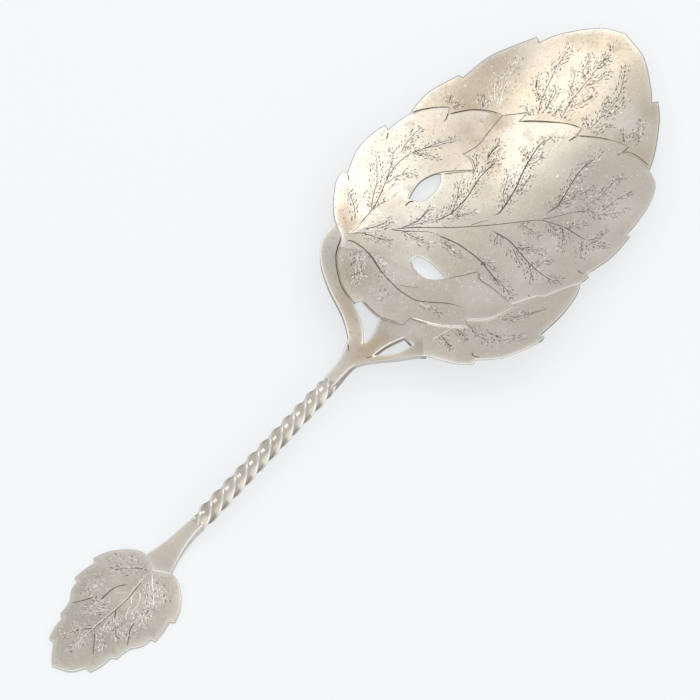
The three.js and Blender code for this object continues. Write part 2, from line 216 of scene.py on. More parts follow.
def silver(name, pale, cloud, roughness, grain=1.0, dull=(), clean=(), rub_and_highlight=0.8):
    """Silver whose colour drifts from pale to cloud. One attribute gives patina in the cuts and painted
    shade where it is above nothing, and bright-cut metal with painted highlights and glints where it is
    below. A second gives rubbed edges, partly wear and partly a painted highlight, and a third a cooler hue
    near the ferns. Each dull or clean place is x, y and reach in the drawing and the share in its middle."""
    material, shader, place = new_material(name)
    mm = place.make("ShaderNodeVectorMath", {"operation": "SCALE"}, {0: place, "Scale": 1 / MILLIMETRE})

    def noise(scale, detail=2.0, stretch=None):
        where = mm
        if stretch:
            inputs = {"Vector": mm, "Scale": stretch, "Rotation": (0, 0, HAIR_TURN)}
            where = mm.make("ShaderNodeMapping", None, inputs)
        inputs = {"Vector": where, "Scale": scale, "Detail": detail, "Roughness": 0.6}
        return mm.make("ShaderNodeTexNoise", None, inputs)

    def carried(name):
        return mm.make("ShaderNodeAttribute", {"attribute_name": name}, out="Fac")

    clouds = noise(0.045, 3.0).ramp(0.35, 0.68)
    stains = noise(0.16, 5.0).ramp(0.58, 0.78)
    specks = noise(1.9, 3.0).ramp(0.6, 0.72)
    dust = noise(0.8, 4.0).ramp(0.5, 0.75)
    hair = noise(1.3, 2.0, (0.12, 3.2, 1.0))
    hair_across = noise(1.1, 2.0, (2.6, 0.1, 1.0))
    tint_with_painted_light, wear_and_painted_highlight, near_ferns = carried("tint_with_painted_light"), carried("wear_and_painted_highlight"), carried("shade")
    # Patina in the cuts, and painted shade: a positive tint also darkens laps, the foot of edges and the
    # bar's under and far sides.
    patina_and_painted_light = tint_with_painted_light.ramp(0.03, 0.55)
    bright_cut_and_highlight = (0 - tint_with_painted_light).ramp(0.05, 0.6)
    flat = mm.make("ShaderNodeVectorMath", {"operation": "MULTIPLY"}, {0: mm, 1: (1, 1, 0)})
    ragged = noise(0.3, 4.0) * 0.8 + 0.6

    def spots(places, total=0.0):
        """The total and the shares of the places, each falling to nothing at its ragged reach."""
        for x, y, reach, share in places:
            inputs = {0: flat, 1: (x - ORIGIN[0], y - ORIGIN[1], 0)}
            away = flat.make("ShaderNodeVectorMath", {"operation": "DISTANCE"}, inputs, out="Value")
            total = total + (1 - (away * ragged).ramp(0.1 * reach, reach)) * share
        return total.math("MINIMUM", total, MOST_SHARE)

    tarnish = spots(dull, stains * 0.28)
    mottle = noise(0.42, 3.0).ramp(0.3, 0.7) * 0.6 + noise(1.6, 2.0).ramp(0.3, 0.7) * 0.4
    drift = noise(0.1, 4.0).ramp(0.36, 0.64) - near_ferns * ragged * 0.7
    hue = drift.ramp(-0.4, 1.0).mix(COOL_HUE, WARM_HUE)
    plain = (clouds * 0.55 + mottle * 0.45).mix(pale, cloud)
    drifting = mm.make("ShaderNodeVectorMath", {"operation": "MULTIPLY"}, {0: plain, 1: hue})
    open_metal = spots(clean).mix(drifting, CLEAN_METAL) if clean else drifting
    tarnished = tarnish.mix(open_metal, TARNISH)
    specked = (specks * 0.24 * grain).mix(tarnished, SPECK)
    # Wear and a painted highlight: rubbed edges and the bar's crowns are made paler.
    rubbed_and_highlighted = (wear_and_painted_highlight * rub_and_highlight).mix(specked, RUBBED_AND_HIGHLIGHT)
    # Painted highlight: a negative tint makes bright cuts, edge walls and arrises and the bar's crowns
    # paler, as glints.
    glinting = (bright_cut_and_highlight * 0.85).mix(rubbed_and_highlighted, BRIGHT_CUT_AND_HIGHLIGHT)
    colour = (patina_and_painted_light * 0.9).mix(glinting, PATINA_AND_SHADE)
    satin = roughness + stains * 0.1 + dust * 0.06 + (hair - 0.5) * 0.12
    satin = satin + patina_and_painted_light * 0.25 - wear_and_painted_highlight * 0.05
    place.plug(shader.inputs["Base Color"], colour)
    place.plug(shader.inputs["Roughness"], satin)
    place.plug(shader.inputs["Metallic"], 1 - patina_and_painted_light * 0.6)
    height = hair * 0.5 + hair_across * 0.4 + noise(3.2, 3.0) * 0.15 * grain
    bump_inputs = {"Height": height, "Strength": 0.014, "Distance": 0.0001}
    place.plug(shader.inputs["Normal"], place.make("ShaderNodeBump", None, bump_inputs))
    return material


print("the silver finish is ready")

# %% [markdown]
# Each piece has tarnished in its own way: the fork's crotch and the leaf behind the upper piercing are
# brown, while the middle of the bowl has been wiped clean. A painted map would need a file of its own, so
# each stain and each clean place is a point with a reach, and the finish frays its edge with noise.

# %% The finishes of the pieces
BOWL_TARNISH = [
    (177, 23, 15, 0.28), (166, 4, 11, 0.12), (130, 16, 9, 0.42), (199, -14, 9, 0.12), (147, 31, 6, 0.15),
    (140, 26.5, 7, 0.6), (142, 30, 6, 0.35), (178, -15, 6, 0.1), (187, 20.5, 7, 0.4), (185, 15, 7, 0.4),
    (196, 17, 6, 0.55), (192.5, 18, 5, 0.45), (182, 10, 5, 0.35), (190, 13, 5, 0.2), (175.5, 8, 5, 0.35),
    (197, 3.5, 4, 0.25), (154, 25, 6, 0.3),
]
BOWL_CLEAN = [
    (140, 7, 9, 0.5), (147, -12, 9, 0.5), (157, 14.5, 8, 0.6), (161, -18, 9, 0.5), (137, -26, 8, 0.3),
    (176, -29, 9, 0.45), (189, -27, 9, 0.55), (192, 7, 8, 0.15), (184, 3, 6, 0.5), (150, 10, 7, 0.35),
    (171, -17, 7, 0.35), (152, -20, 8, 0.4), (192, -7, 7, 0.3),
]
BACK_TARNISH = [
    (201, 30, 22, 0.5), (229, 14, 6, 0.35), (227, 17, 3, 0.3), (228, -2, 9, 0.15), (231, 9, 8, 0.3),
    (221, -13, 6, 0.25), (192, 27, 6, 0.25), (203, 9, 5, 0.4), (206, 2.5, 5, 0.4), (217.5, 5, 5, 0.2),
    (234, 5, 6, 0.3),
]
BACK_CLEAN = [(217, -10, 8, 0.5), (216, 22, 8, 0.4), (214, -15, 7, 0.4), (212, -6, 7, 0.45)]
FORK_TARNISH = [
    (114, -3, 9, 0.85), (119, 11, 10, 0.4), (123, -11.5, 3, 0.3), (124, -5, 8, 0.12), (126, -9, 6, 0.12),
    (118, 7.6, 6, 0.2),
]
FORK_CLEAN = [(127, -8, 11, 0.2), (125, -5, 7, 0.3), (127, -9, 6, 0.35)]
STEM_TARNISH = [(54, 1, 7, 0.3), (68, 1, 6, 0.2), (79, 0, 7, 0.3), (92, 0, 6, 0.2)]
BOWL_SILVER = silver("bowl_silver", (0.82, 0.755, 0.66, 1), (0.73, 0.665, 0.57, 1), 0.27,
                     dull=BOWL_TARNISH, clean=BOWL_CLEAN)
BACK_SILVER = silver("back_silver", (0.82, 0.735, 0.605, 1), (0.72, 0.635, 0.515, 1), 0.27,
                     dull=BACK_TARNISH, clean=BACK_CLEAN)
FORK_SILVER = silver("fork_silver", (0.6, 0.56, 0.5, 1), (0.51, 0.47, 0.415, 1), 0.34,
                     grain=1.5, dull=FORK_TARNISH, clean=FORK_CLEAN, rub_and_highlight=0.25)
STEM_SILVER = silver("stem_silver", (0.88, 0.83, 0.74, 1), (0.74, 0.685, 0.6, 1), 0.2,
                     grain=1.5, dull=STEM_TARNISH)
TAIL_SILVER = silver("tail_silver", (0.89, 0.83, 0.73, 1), (0.78, 0.72, 0.62, 1), 0.24, grain=1.3)
SMALL_LEAF_SILVER = silver("terminal_silver", (0.75, 0.7, 0.61, 1), (0.52, 0.48, 0.41, 1), 0.3,
                           grain=1.6, rub_and_highlight=0.6)
print("finishes:", [m.name for m in bpy.data.materials if m.name.endswith("silver")])

# %% [markdown]
# The bowl is one pressed face. Near the handle it follows the bar's line, and past the crotch it eases
# into a dish that rises with the square of the distance from its lowest point. Every leaf and the fork
# take their height from this face, a lap higher or lower, so they nest as pressed sheets do.

# %% The pressed face
DISH_X, DISH_Y = 178.0, 2.0
HALF_WIDTH = 38.5
RIM_RISE, TIP_RISE = 9.2, 7.2
AXIS_AT_TAIL, AXIS_AT_FORK = 4.4, 6.1
BLEND_BEFORE, BLEND_AFTER = 6.7, 33.3


def bar_axis(x):
    """Height of the bar's axis: a straight line between its two ends, carried on past them."""
    return AXIS_AT_TAIL + (AXIS_AT_FORK - AXIS_AT_TAIL) * (x - STEM_START) / (FORK_START - STEM_START)


def pressed_face(x, y):
    """The neck's line at the handle, eased into a dish that grows with the square of the distance."""
    dish = SHEET + TIP_RISE * ((x - DISH_X) / (BOWL_TIP - DISH_X)) ** 2
    dish = dish + RIM_RISE * ((y - DISH_Y) / HALF_WIDTH) ** 2
    neck = bar_axis(x) + BAR_SIDE / 2
    return neck + (dish - neck) * smoothstep(x, BOWL_START - BLEND_BEFORE, BOWL_START + BLEND_AFTER)


print("face at the dish's floor:", pressed_face(DISH_X, DISH_Y), "mm")

# %% [markdown]
# An outline is a list of smooth stretches with corners between them: the teeth. Each stretch is a
# Catmull-Rom spline through its points, worked out for all its samples at once and then spaced evenly.
# A small outward direction at every sample lets a rounded edge be carried round the outline later.


# %% Outlines
def spline(points, step):
    """Catmull-Rom curve through the points: on each span a cubic of the two ends and their neighbours."""
    p = np.asarray(points, float)
    if len(p) > 2:
        padded = np.vstack([p[:1], p, p[-1:]])
        span, t = np.divmod(np.linspace(0, len(p) - 1 - 1e-9, 40 * len(p)), 1)
        i, t = span.astype(int), t[:, None]
        a, b, c, d = (padded[i + k] for k in range(4))
        square, cube = 2 * a - 5 * b + 4 * c - d, 3 * b - a - 3 * c + d
        p = 0.5 * (2 * b + (c - a) * t + square * t**2 + cube * t**3)
        p = np.vstack([p, padded[-1:]])
    length = np.concatenate([[0], np.cumsum(np.hypot(*np.diff(p, axis=0).T))])
    even = np.linspace(0, length[-1], max(2, int(round(length[-1] / step)) + 1))
    return np.stack([np.interp(even, length, p[:, k]) for k in (0, 1)], 1)


def outline(stretches, step=0.45, clockwise=False):
    """A closed loop of samples along the stretches, without repeated points, turned the way asked for."""
    loop = np.vstack([spline(s, step) for s in stretches])
    loop = loop[np.hypot(*(loop - np.roll(loop, -1, 0)).T) > 0.05]
    x, y = loop.T
    area = np.sum(x * np.roll(y, -1) - np.roll(x, -1) * y)
    return loop[::-1] if (area > 0) == clockwise else loop


def outward(loop):
    """At each point, the direction away from the metal, lengthened at corners so that both sides keep
    their distance when the loop is moved along it."""
    side = np.roll(loop, -1, 0) - loop
    side /= np.hypot(*side.T)[:, None]
    normal = np.stack([side[:, 1], -side[:, 0]], 1)
    before = np.roll(normal, 1, 0)
    return (normal + before) / np.maximum(1 + np.sum(normal * before, 1), 0.45)[:, None]


print("outline tools ready")

# %% [markdown]
# Two questions come back with every piece: does a point lie in the metal, and how far is it from a line?
# Both are asked for thousands of points, so they are answered for whole arrays, a block of points at a
# time to spare memory.

# %% Inside and near
BLOCK = 4000


def inside(points, loops):
    """True where a line from the point crosses the loops an odd number of times."""
    a = np.vstack(loops)
    b = np.vstack([np.roll(loop, -1, 0) for loop in loops])
    found = []
    for block in np.array_split(points, len(points) // BLOCK + 1):
        x, y = block[:, :1], block[:, 1:]
        spans = (a[:, 1] > y) != (b[:, 1] > y)
        rise = np.where(a[:, 1] == b[:, 1], 1, b[:, 1] - a[:, 1])
        cross = x < a[:, 0] + (y - a[:, 1]) * (b[:, 0] - a[:, 0]) / rise
        found.append(np.sum(spans & cross, 1) % 2 == 1)
    return np.concatenate(found)


def distance_to(points, path):
    """Distance from each point to the nearest sample of a path."""
    found = []
    for block in np.array_split(points, len(points) // BLOCK + 1):
        gaps = block[:, None, :] - path[None, :, :]
        found.append(np.sqrt(np.min(np.sum(gaps**2, 2), 1)))
    return np.concatenate(found)


print("points are tested in blocks of", BLOCK)

# %% [markdown]
# An engraver pushes a V-shaped tool through the metal. A long line is a groove that swells and tapers;
# a fern is a stem with rows of short leaflets to both sides. A bump map would vanish in the
# exported mesh, so each cut is real: its bottom and its two sides become lines of the mesh.

# %% Engraved cuts
FERN_STEM, FERN_ROWS = 0.24, (0.18, 0.62, 1.05)


class Cuts:
    """Grooves and flecks in the plane of a sheet: points, edges between them, and depth segments."""

    def __init__(self, seed):
        self.points, self.edges, self.segments, self.ferns = [], [], [], []
        self.count = 0
        self.random = np.random.default_rng(seed)

    def add(self, points, edges):
        self.points.append(points)
        self.edges.append(edges + self.count)
        self.count += len(points)

    def groove(self, width, path, allowed, tint=1.0):
        """A V-groove along a spline: full width soon after its start, thinning towards its end."""
        line = spline(path, 0.5 if len(path) > 4 else 0.25)
        line = line[allowed(line)]
        if len(line) < 3:
            return
        t = np.linspace(0, 1, len(line))
        half = 0.5 * width * np.minimum(1, t / 0.08) * np.minimum(1, (1 - t) / 0.12) * (1 - 0.35 * t)
        along = np.gradient(line, axis=0)
        across = np.stack([-along[:, 1], along[:, 0]], 1) / np.hypot(*along.T)[:, None]
        n, m = len(line), len(line) - 2
        sides = [line[1:-1] + s * across[1:-1] * half[1:-1, None] for s in (1, -1)]
        chain = np.stack([np.arange(n - 1), np.arange(1, n)], 1)
        edges = [chain]
        for start in (n, n + m):
            ring = np.concatenate([[0], np.arange(start, start + m), [n - 1]])
            edges.append(np.stack([ring[:-1], ring[1:]], 1))
        self.add(np.vstack([line, *sides]), np.vstack(edges))
        dark = np.full(n - 1, tint)
        self.segments.append(np.column_stack([line[:-1], line[1:], half[:-1], half[1:], dark]))

    def flecks(self, start, end, width, tint, allowed):
        """Short pits, pointed at both ends and widest a little before their middle."""
        along = end - start
        across = np.stack([-along[:, 1], along[:, 0]], 1) / np.hypot(*along.T)[:, None]
        middle = start + 0.45 * along
        keep = allowed(start) & allowed(end)
        start, end, middle = start[keep], end[keep], middle[keep]
        across, width, tint = across[keep], width[keep], tint[keep]
        if not len(start):
            return
        half = 0.5 * width[:, None]
        corners = np.stack([start, middle + across * half, end, middle - across * half, middle], 1)
        pattern = np.array([(0, 1), (1, 2), (2, 3), (3, 0), (0, 4), (4, 2)])
        edges = (pattern[None] + 5 * np.arange(len(start))[:, None, None]).reshape(-1, 2)
        self.add(corners.reshape(-1, 2), edges)
        zero = np.zeros(len(start))
        half = half[:, 0]
        for a, b, low, high in ((start, middle, zero, half), (middle, end, half, zero)):
            self.segments.append(np.column_stack([a, b, low, high, tint]))

    def fern(self, reach, path, allowed, dark, spacing=0.7):
        """Slender leaflets in rows beside the stem, at three shares of the reach to the left and right,
        which narrows to half at the tip. They lean out a little from the stem's own direction."""
        self.groove(FERN_STEM, path, allowed, 0.9 if dark > 0.5 else -0.6)
        self.ferns.append(spline(path, 0.5))
        stem = spline(path, spacing)
        along = np.gradient(stem, axis=0)
        turn = np.arctan2(along[:, 1], along[:, 0])
        n = len(stem)
        width = reach * (1 - 0.5 * np.linspace(0, 1, n))
        draw = self.random.uniform
        for side in (1, -1):
            for share in FERN_ROWS:
                lean = turn + side * draw(0.12, 0.62, n)
                out = np.stack([-np.sin(turn), np.cos(turn)], 1) * (side * share * width)[:, None]
                base = stem + out + draw(-0.35, 0.35, (n, 2))
                tip = base + draw(0.5, 1.3, n)[:, None] * np.stack([np.cos(lean), np.sin(lean)], 1)
                here = draw(0, 1, n) < 0.92 - 0.26 * share
                tint = np.where(draw(0, 1, n) < dark, draw(0.8, 1.8, n), draw(-1.3, -0.6, n))
                self.flecks(base[here], tip[here], draw(0.18, 0.34, n)[here], tint[here], allowed)

    def nicks(self, loop, each, allowed):
        """Fine nicks from use, one on each given area, in any direction, most painted bright as glints and
        a few dull.
        """
        low, high = loop.min(0), loop.max(0)
        n = int(np.prod(high - low) / each)
        draw = self.random.uniform
        base, turn = draw(low, high, (n, 2)), draw(0, 2 * math.pi, n)
        tip = base + draw(0.3, 0.7, n)[:, None] * np.stack([np.cos(turn), np.sin(turn)], 1)
        self.flecks(base, tip, draw(0.2, 0.36, n), draw(-0.9, 0.22, n), allowed)

    def dots(self, places, width, allowed):
        """Round punch marks, as flecks that are nearly as wide as long."""
        half, every = np.array([width * 0.5, 0.0]), np.ones(len(places))
        self.flecks(places - half, places + half, width * every, every, allowed)


print("engraving tools ready")

# %% [markdown]
# How deep is the metal cut at a point? Each groove and fleck is a row of short segments with a width, and
# the deepest one over the point counts. Only the segments near a strip of points are looked at, which
# keeps this quick. A cut made with a flatter tool is left bright, so that its facets glint, and its colour
# is painted paler as a glint.

# %% The depth of the cuts
CUT_SLOPE, BRIGHT_SLOPE = 0.7, 0.24
FULL_TINT_HALF_WIDTH = 0.06


def cut_depth(cuts, points):
    """At each point the deepest cut and its tint: a segment is cut to a slope times its half width
    along its middle, and the depth falls to nothing at its sides. A tint above nothing is dark patina,
    and one below it is metal that was cut bright, with a flatter tool so that its facets glint, and that
    the silver paints paler as a glint."""
    deepest, patina_and_painted_light = np.zeros(len(points)), np.zeros(len(points))
    if not cuts.segments:
        return deepest, patina_and_painted_light
    every = np.vstack(cuts.segments)
    reach = np.maximum(every[:, 4], every[:, 5])
    low, high = every[:, [0, 2]].min(1) - reach, every[:, [0, 2]].max(1) + reach
    for strip in np.array_split(np.argsort(points[:, 0]), len(points) // 400 + 1):
        x = points[strip, 0]
        seg = every[(high > x[0]) & (low < x[-1])]
        if not len(seg):
            continue
        run = seg[:, 2:4] - seg[:, :2]
        gap = points[strip, None, :] - seg[:, :2]
        t = np.clip(np.sum(gap * run, 2) / np.maximum(np.sum(run**2, 1), 1e-9), 0, 1)
        gap -= t[..., None] * run
        half = seg[:, 4] + t * (seg[:, 5] - seg[:, 4])
        share = np.maximum(1 - np.sqrt(np.sum(gap**2, 2)) / np.maximum(half, 1e-6), 0)
        slope = np.where(seg[:, 6] < 0, BRIGHT_SLOPE, CUT_SLOPE)
        deepest[strip] = np.max(slope * half * share, 1)
        tint = np.minimum(share, half / FULL_TINT_HALF_WIDTH) * seg[:, 6]
        strongest = np.argmax(np.abs(tint), 1)
        patina_and_painted_light[strip] = tint[np.arange(len(strip)), strongest]
    return deepest, patina_and_painted_light


print("a cut 0.4 mm wide is", round(0.2 * CUT_SLOPE, 2), "mm deep")

# %% [markdown]
# The leaves, the fork and the tail are sheets. A regular grid can't follow both a toothed edge and a
# hair-fine cut, so a sheet's plan is a Delaunay triangulation that is held to the outline and to every
# cut, with a coarse grid of points between them to carry the dish.


# %% The plan of a sheet
def triangles(points, edges, loops):
    """Delaunay triangles of the points that keep the edges, only inside the loops, all turned upwards.
    Returns the points, the triangles and where each given point went."""
    made = delaunay_2d_cdt(points.tolist(), edges.tolist(), [], 0, 1e-4, True)
    flat = np.array([tuple(v) for v in made[0]])
    tris = np.array(made[2])
    went = np.full(len(points), -1)
    sources = [np.asarray(ids, int) for ids in made[3]]
    went[np.concatenate(sources)] = np.repeat(np.arange(len(sources)), [len(s) for s in sources])
    tris = tris[inside(flat[tris].mean(1), loops)]
    (ax, ay), (bx, by), (cx, cy) = (flat[tris[:, k]].T for k in range(3))
    down = (bx - ax) * (cy - ay) - (by - ay) * (cx - ax) < 0
    tris[down] = tris[down][:, ::-1]
    return flat, tris, went


def plan_grid(loops, cell):
    """Points on a regular grid of cells, kept a little inside the loops."""
    low, high = loops[0].min(0), loops[0].max(0)
    x, y = np.meshgrid(*(np.arange(a + cell / 2, b, cell) for a, b in zip(low, high)))
    points = np.stack([x.ravel(), y.ravel()], 1)
    return points[inside(points, [loop - 0.35 * cell * outward(loop) for loop in loops])]


def loop_edges(loops):
    """Pairs of neighbours round each loop, numbered in one row."""
    starts = np.cumsum([0] + [len(loop) for loop in loops[:-1]])
    rounds = [(start, np.arange(len(loop))) for start, loop in zip(starts, loops)]
    return np.vstack([np.stack([start + i, start + np.roll(i, -1)], 1) for start, i in rounds])


print("plan tools ready")

# %% [markdown]
# Every piece is finished in the same way. Its points go from the drawing to the frame, what the silver has
# to read is stored with them, and the solid it stands for is hidden. Faces that meet at a steep
# angle keep a sharp edge between them, so the cuts stay crisp under smooth shading.


# %% From points to a piece on the frame
def put_mesh(name, points, faces, material, tint_with_painted_light=None, wear_and_painted_highlight=None, shade=None, crease=12):
    """An object from points in the drawing, riding on the frame and standing for the solid of its name,
    with edges kept sharp above the crease's angle in degrees."""
    mesh = bpy.data.meshes.new(name)
    mesh.from_pydata(to_frame(points), [], faces)
    for label, values in (("tint_with_painted_light", tint_with_painted_light), ("wear_and_painted_highlight", wear_and_painted_highlight), ("shade", shade)):
        layer = mesh.attributes.new(label, "FLOAT", "POINT")
        if values is not None:
            layer.data.foreach_set("value", np.asarray(values, np.float32))
    mesh.shade_smooth()
    mesh.set_sharp_from_angle(angle=math.radians(crease))
    mesh.materials.append(material)
    piece = bpy.data.objects.new(name + "_silver", mesh)
    bpy.context.scene.collection.objects.link(piece)
    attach(piece, "root")
    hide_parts(name)
    print(name, len(points), "points,", len(faces), "faces")
    return piece


print("pieces ride on root")

# %% [markdown]
# A sheet is two faces and an edge between them. The heights of the faces come from functions of x and y,
# for all points at once, and the edge is a rounded profile carried along the outline. How an edge looks
# depends on where it lies, and its tints are painted light: over another leaf it is painted dark, partly
# patina in the join and partly painted shade, a free edge has a painted highlight on its wall and painted
# shade at its foot, and on the near side its arris and wall are painted bright.

# %% Sheets with rounded edges
ROUND_STEPS = 4
INSET, ARRIS_WIDTH, BEYOND = 0.01, 0.2, 0.3
WEAR_AND_HIGHLIGHT_REACH, FERN_REACH = 0.55, 2.2
# The near side, towards the camera: free edges that face it get a painted glint on their arris and wall.
PAINTED_GLINT_SIDE = np.array([-0.78, -0.62])
GLINT_SIDE_ARRIS, GLINT_SIDE_WALL = 0.15, -0.6


def rim_tints(loops, beyond, way, over, lap, arris, wall, foot):
    """Where the rim laps over other loops, and the tints of its arris, wall and foot, which paint light and
    shade on the edge. A lap has the tint lap, half of it on the arris, and a free edge eases to the painted
    glint tints where it faces the near side."""
    lapped = np.any([np.zeros(len(beyond), bool)] + [inside(beyond, [loop]) for loop in over], 0)
    counts = [len(loop) for loop in loops]
    arris, wall = (np.repeat(np.broadcast_to(tint, len(loops)), counts) for tint in (arris, wall))
    toward_glint_side = smoothstep(way @ PAINTED_GLINT_SIDE / np.hypot(*way.T), 0.8, 0.95)
    arris = arris + (GLINT_SIDE_ARRIS - arris) * toward_glint_side
    wall = wall + (GLINT_SIDE_WALL - wall) * toward_glint_side
    pairs = (0.5 * lap, arris), (lap, wall), (lap, foot)
    return lapped, *(np.where(lapped, covered, free) for covered, free in pairs)


def sheet(name, loops, top, under, rounding, material, slot, cuts=None, cell=1.3,
          over=(), lap=0.6, arris=0.4, wall=-0.5, foot=0.5):
    """Top and under faces over the plan, each edge a quarter round: at turn a it stands out by
    r sin a and drops by r (1 - cos a). Over other loops the edge has the tint lap, and elsewhere the
    tints arris, wall and foot from above to below, the first two also one for each loop."""
    ways = [outward(loop) for loop in loops]
    inner = [loop - (rounding + INSET) * way for loop, way in zip(loops, ways)]
    rim, way = np.vstack(inner), np.vstack(ways)
    border = loop_edges(inner)
    beside = np.vstack([loop - (rounding + ARRIS_WIDTH) * way for loop, way in zip(loops, ways)])
    points = [rim, plan_grid(inner, cell), beside[inside(beside, inner)]]
    edges = [border]
    if cuts and cuts.count:
        edges.append(np.vstack(cuts.edges) + sum(len(p) for p in points))
        points += cuts.points
    upper, upper_tris, went = triangles(np.vstack(points), np.vstack(edges), inner)
    points = np.vstack([rim, plan_grid(inner, 2 * cell)])
    lower, lower_tris, lower_went = triangles(points, border, inner)
    depth, patina_and_painted_light = cut_depth(cuts, upper) if cuts else np.zeros((2, len(upper)))
    solid = [np.column_stack([upper, top(*upper.T) - depth])]
    turns = np.linspace(0, math.pi / 2, ROUND_STEPS)[1:]
    for face, sign, order in ((top, -1, turns), (under, 1, turns[::-1])):
        for a in order:
            x, y = (rim + way * rounding * math.sin(a)).T
            solid.append(np.column_stack([x, y, face(x, y) + sign * rounding * (1 - math.cos(a))]))
    solid.append(np.column_stack([lower, under(*lower.T)]))
    starts = np.cumsum([0] + [len(s) for s in solid])
    rings = [went[: len(rim)]]
    rings += [starts[k] + np.arange(len(rim)) for k in range(1, 2 * len(turns) + 1)]
    rings.append(starts[-2] + lower_went[: len(rim)])
    i, j = border.T
    walls = np.vstack([np.stack([a[i], b[i], b[j], a[j]], 1) for a, b in zip(rings, rings[1:])])
    faces = upper_tris.tolist() + walls.tolist() + (lower_tris[:, ::-1] + starts[-2]).tolist()
    points = np.vstack(solid)
    tint_with_painted_light, wear_and_painted_highlight, shade = np.zeros((3, len(points)))
    beyond = rim + way * (rounding + BEYOND)
    # Painted light on the edge: dark lap and foot tints are painted shade, a bright arris or wall is a
    # painted highlight.
    lapped, arris, wall, foot = rim_tints(loops, beyond, way, over, lap, arris, wall, foot)
    tint_with_painted_light[: len(upper)] = patina_and_painted_light
    tint_with_painted_light[went[: len(rim)]] = tint_with_painted_light[starts[1] : starts[2]] = arris
    tint_with_painted_light[starts[2] : starts[-4]] = np.tile(wall, 2 * len(turns) - 3)
    tint_with_painted_light[starts[-4] : starts[-2]] = np.tile(foot, 2)
    # Wear and a painted highlight: the top of the rounded edge and a band along a free rim are made paler.
    wear_and_painted_highlight[starts[1] : starts[len(turns) + 1]] = 1
    if not lapped.all():
        wear_and_painted_highlight[: len(upper)] = np.exp(-distance_to(upper, rim[~lapped]) / WEAR_AND_HIGHLIGHT_REACH)
    if cuts and cuts.ferns:
        away = distance_to(upper, np.vstack(cuts.ferns))
        shade[: len(upper)] = np.exp(-((away / FERN_REACH) ** 2))
    return put_mesh(name, points, faces, material, tint_with_painted_light, wear_and_painted_highlight, shade)


print("sheet tools ready")

# %% [markdown]
# The outlines of the bowl's pieces are drawn from the fork's crotch, one line for each smooth stretch, and
# the notch of a tooth is where a stretch starts away from the end of the last one. A cut is a groove's
# width, or the reach of a fern's leaflets, and the few points that its line swings through.

# %% From the bowl's drawing to the spoon's
CUT_MARGIN, NICK_AREA, DOT_WIDTH = 0.22, 1.7, 0.45
PALE_FERN_DARK = 0.12


def on_bowl(points):
    """Points of the bowl's drawing, which starts at the fork's crotch."""
    return np.asarray(points, float) + (BOWL_START, 0)


def bowl_outline(stretches, clockwise=False):
    return outline([on_bowl(s) for s in stretches], clockwise=clockwise)


def room_for_cuts(loops, margin=CUT_MARGIN):
    """A test for points that lie in the metal, a little away from its edges."""
    shrunk = [loop - margin * outward(loop) for loop in loops]
    return lambda points: inside(points, shrunk)


def engrave(loops, lines, ferns, dots=(), pale_ferns=(), bright_lines=(), dark=0.8, seed=1):
    """All cuts of one leaf, from its grooves, ferns and punch marks in the bowl's drawing. The share dark
    of a fern's leaflets holds patina and the rest was cut bright, as nearly all of a pale fern was; the
    bright ones are painted paler as glints."""
    cuts = Cuts(seed)
    allowed = room_for_cuts(loops)
    for tint, group in ((1.0, lines), (-1.0, bright_lines)):
        for width, path in group:
            cuts.groove(width, on_bowl(path), allowed, tint)
    for share, group in ((dark, ferns), (PALE_FERN_DARK, pale_ferns)):
        for reach, path in group:
            cuts.fern(reach, on_bowl(path), allowed, share)
    if len(dots):
        cuts.dots(on_bowl(dots), DOT_WIDTH, allowed)
    cuts.nicks(loops[0], NICK_AREA, allowed)
    return cuts


print("the bowl starts at", BOWL_START, "mm")

# %% [markdown]
# The back leaf makes the bowl's far rim and its tip. Its lower edge is hidden under the centre leaf.
# Dark grooves run along the borders where the other leaves lap over it, and five ferns rise from them.

# %% The back leaf
BACK_EDGE = [
    [(65, 33.5), (70, 35.6), (78, 35.8), (87.7, 33.2)],
    [(87.9, 32.1), (98.7, 30.3), (111.1, 24.5)],
    [(110.4, 23), (116.3, 19.9), (123.9, 12.8), (126.6, 6.2)],
    [(126.6, 6.2), (123.7, -2.1), (117.3, -9.1), (113.3, -12.3)],
    [(114.4, -13.5), (109.2, -17.7), (99, -23.2), (92, -25.5)],
    [(92, -25.5), (91.5, -14), (91, -1.5), (87, 9.5), (79, 19), (65, 33.5)],
]
BACK_LINES = [
    (0.42, [(68.25, 35.8), (72.0, 34.25), (75.55, 32.0), (78.75, 29.3)]),
    (0.5, [(77.15, 28.1), (79.65, 26.6), (83.0, 24.1), (85.5, 20.9), (87.1, 17.75)]),
    (0.36, [(87.0, 17.4), (89.4, 15.3), (91.9, 13.2)]),
    (0.55, [(88.5, 13.1), (90.4, 11.0), (92.7, 7.9), (94.8, 4.5), (96.2, 1.5), (96.9, -1.4)]),
    (0.45, [(94.2, -1.6), (95.9, -4.6), (97.4, -8.3), (98.1, -12.0), (98.4, -15.4)]),
    (0.40, [(96.0, -14.7), (97.0, -16.9), (96.6, -20.2), (95.2, -24.4)]),
]
BACK_PALE_FERNS = [
    (2.4, [(88.1, 19.8), (92.5, 21.8), (96.2, 22.9), (100.0, 23.8), (102.8, 23.9)]),
    (2.0, [(88.6, 21.4), (91.5, 24.0), (95.0, 25.6)]),
]
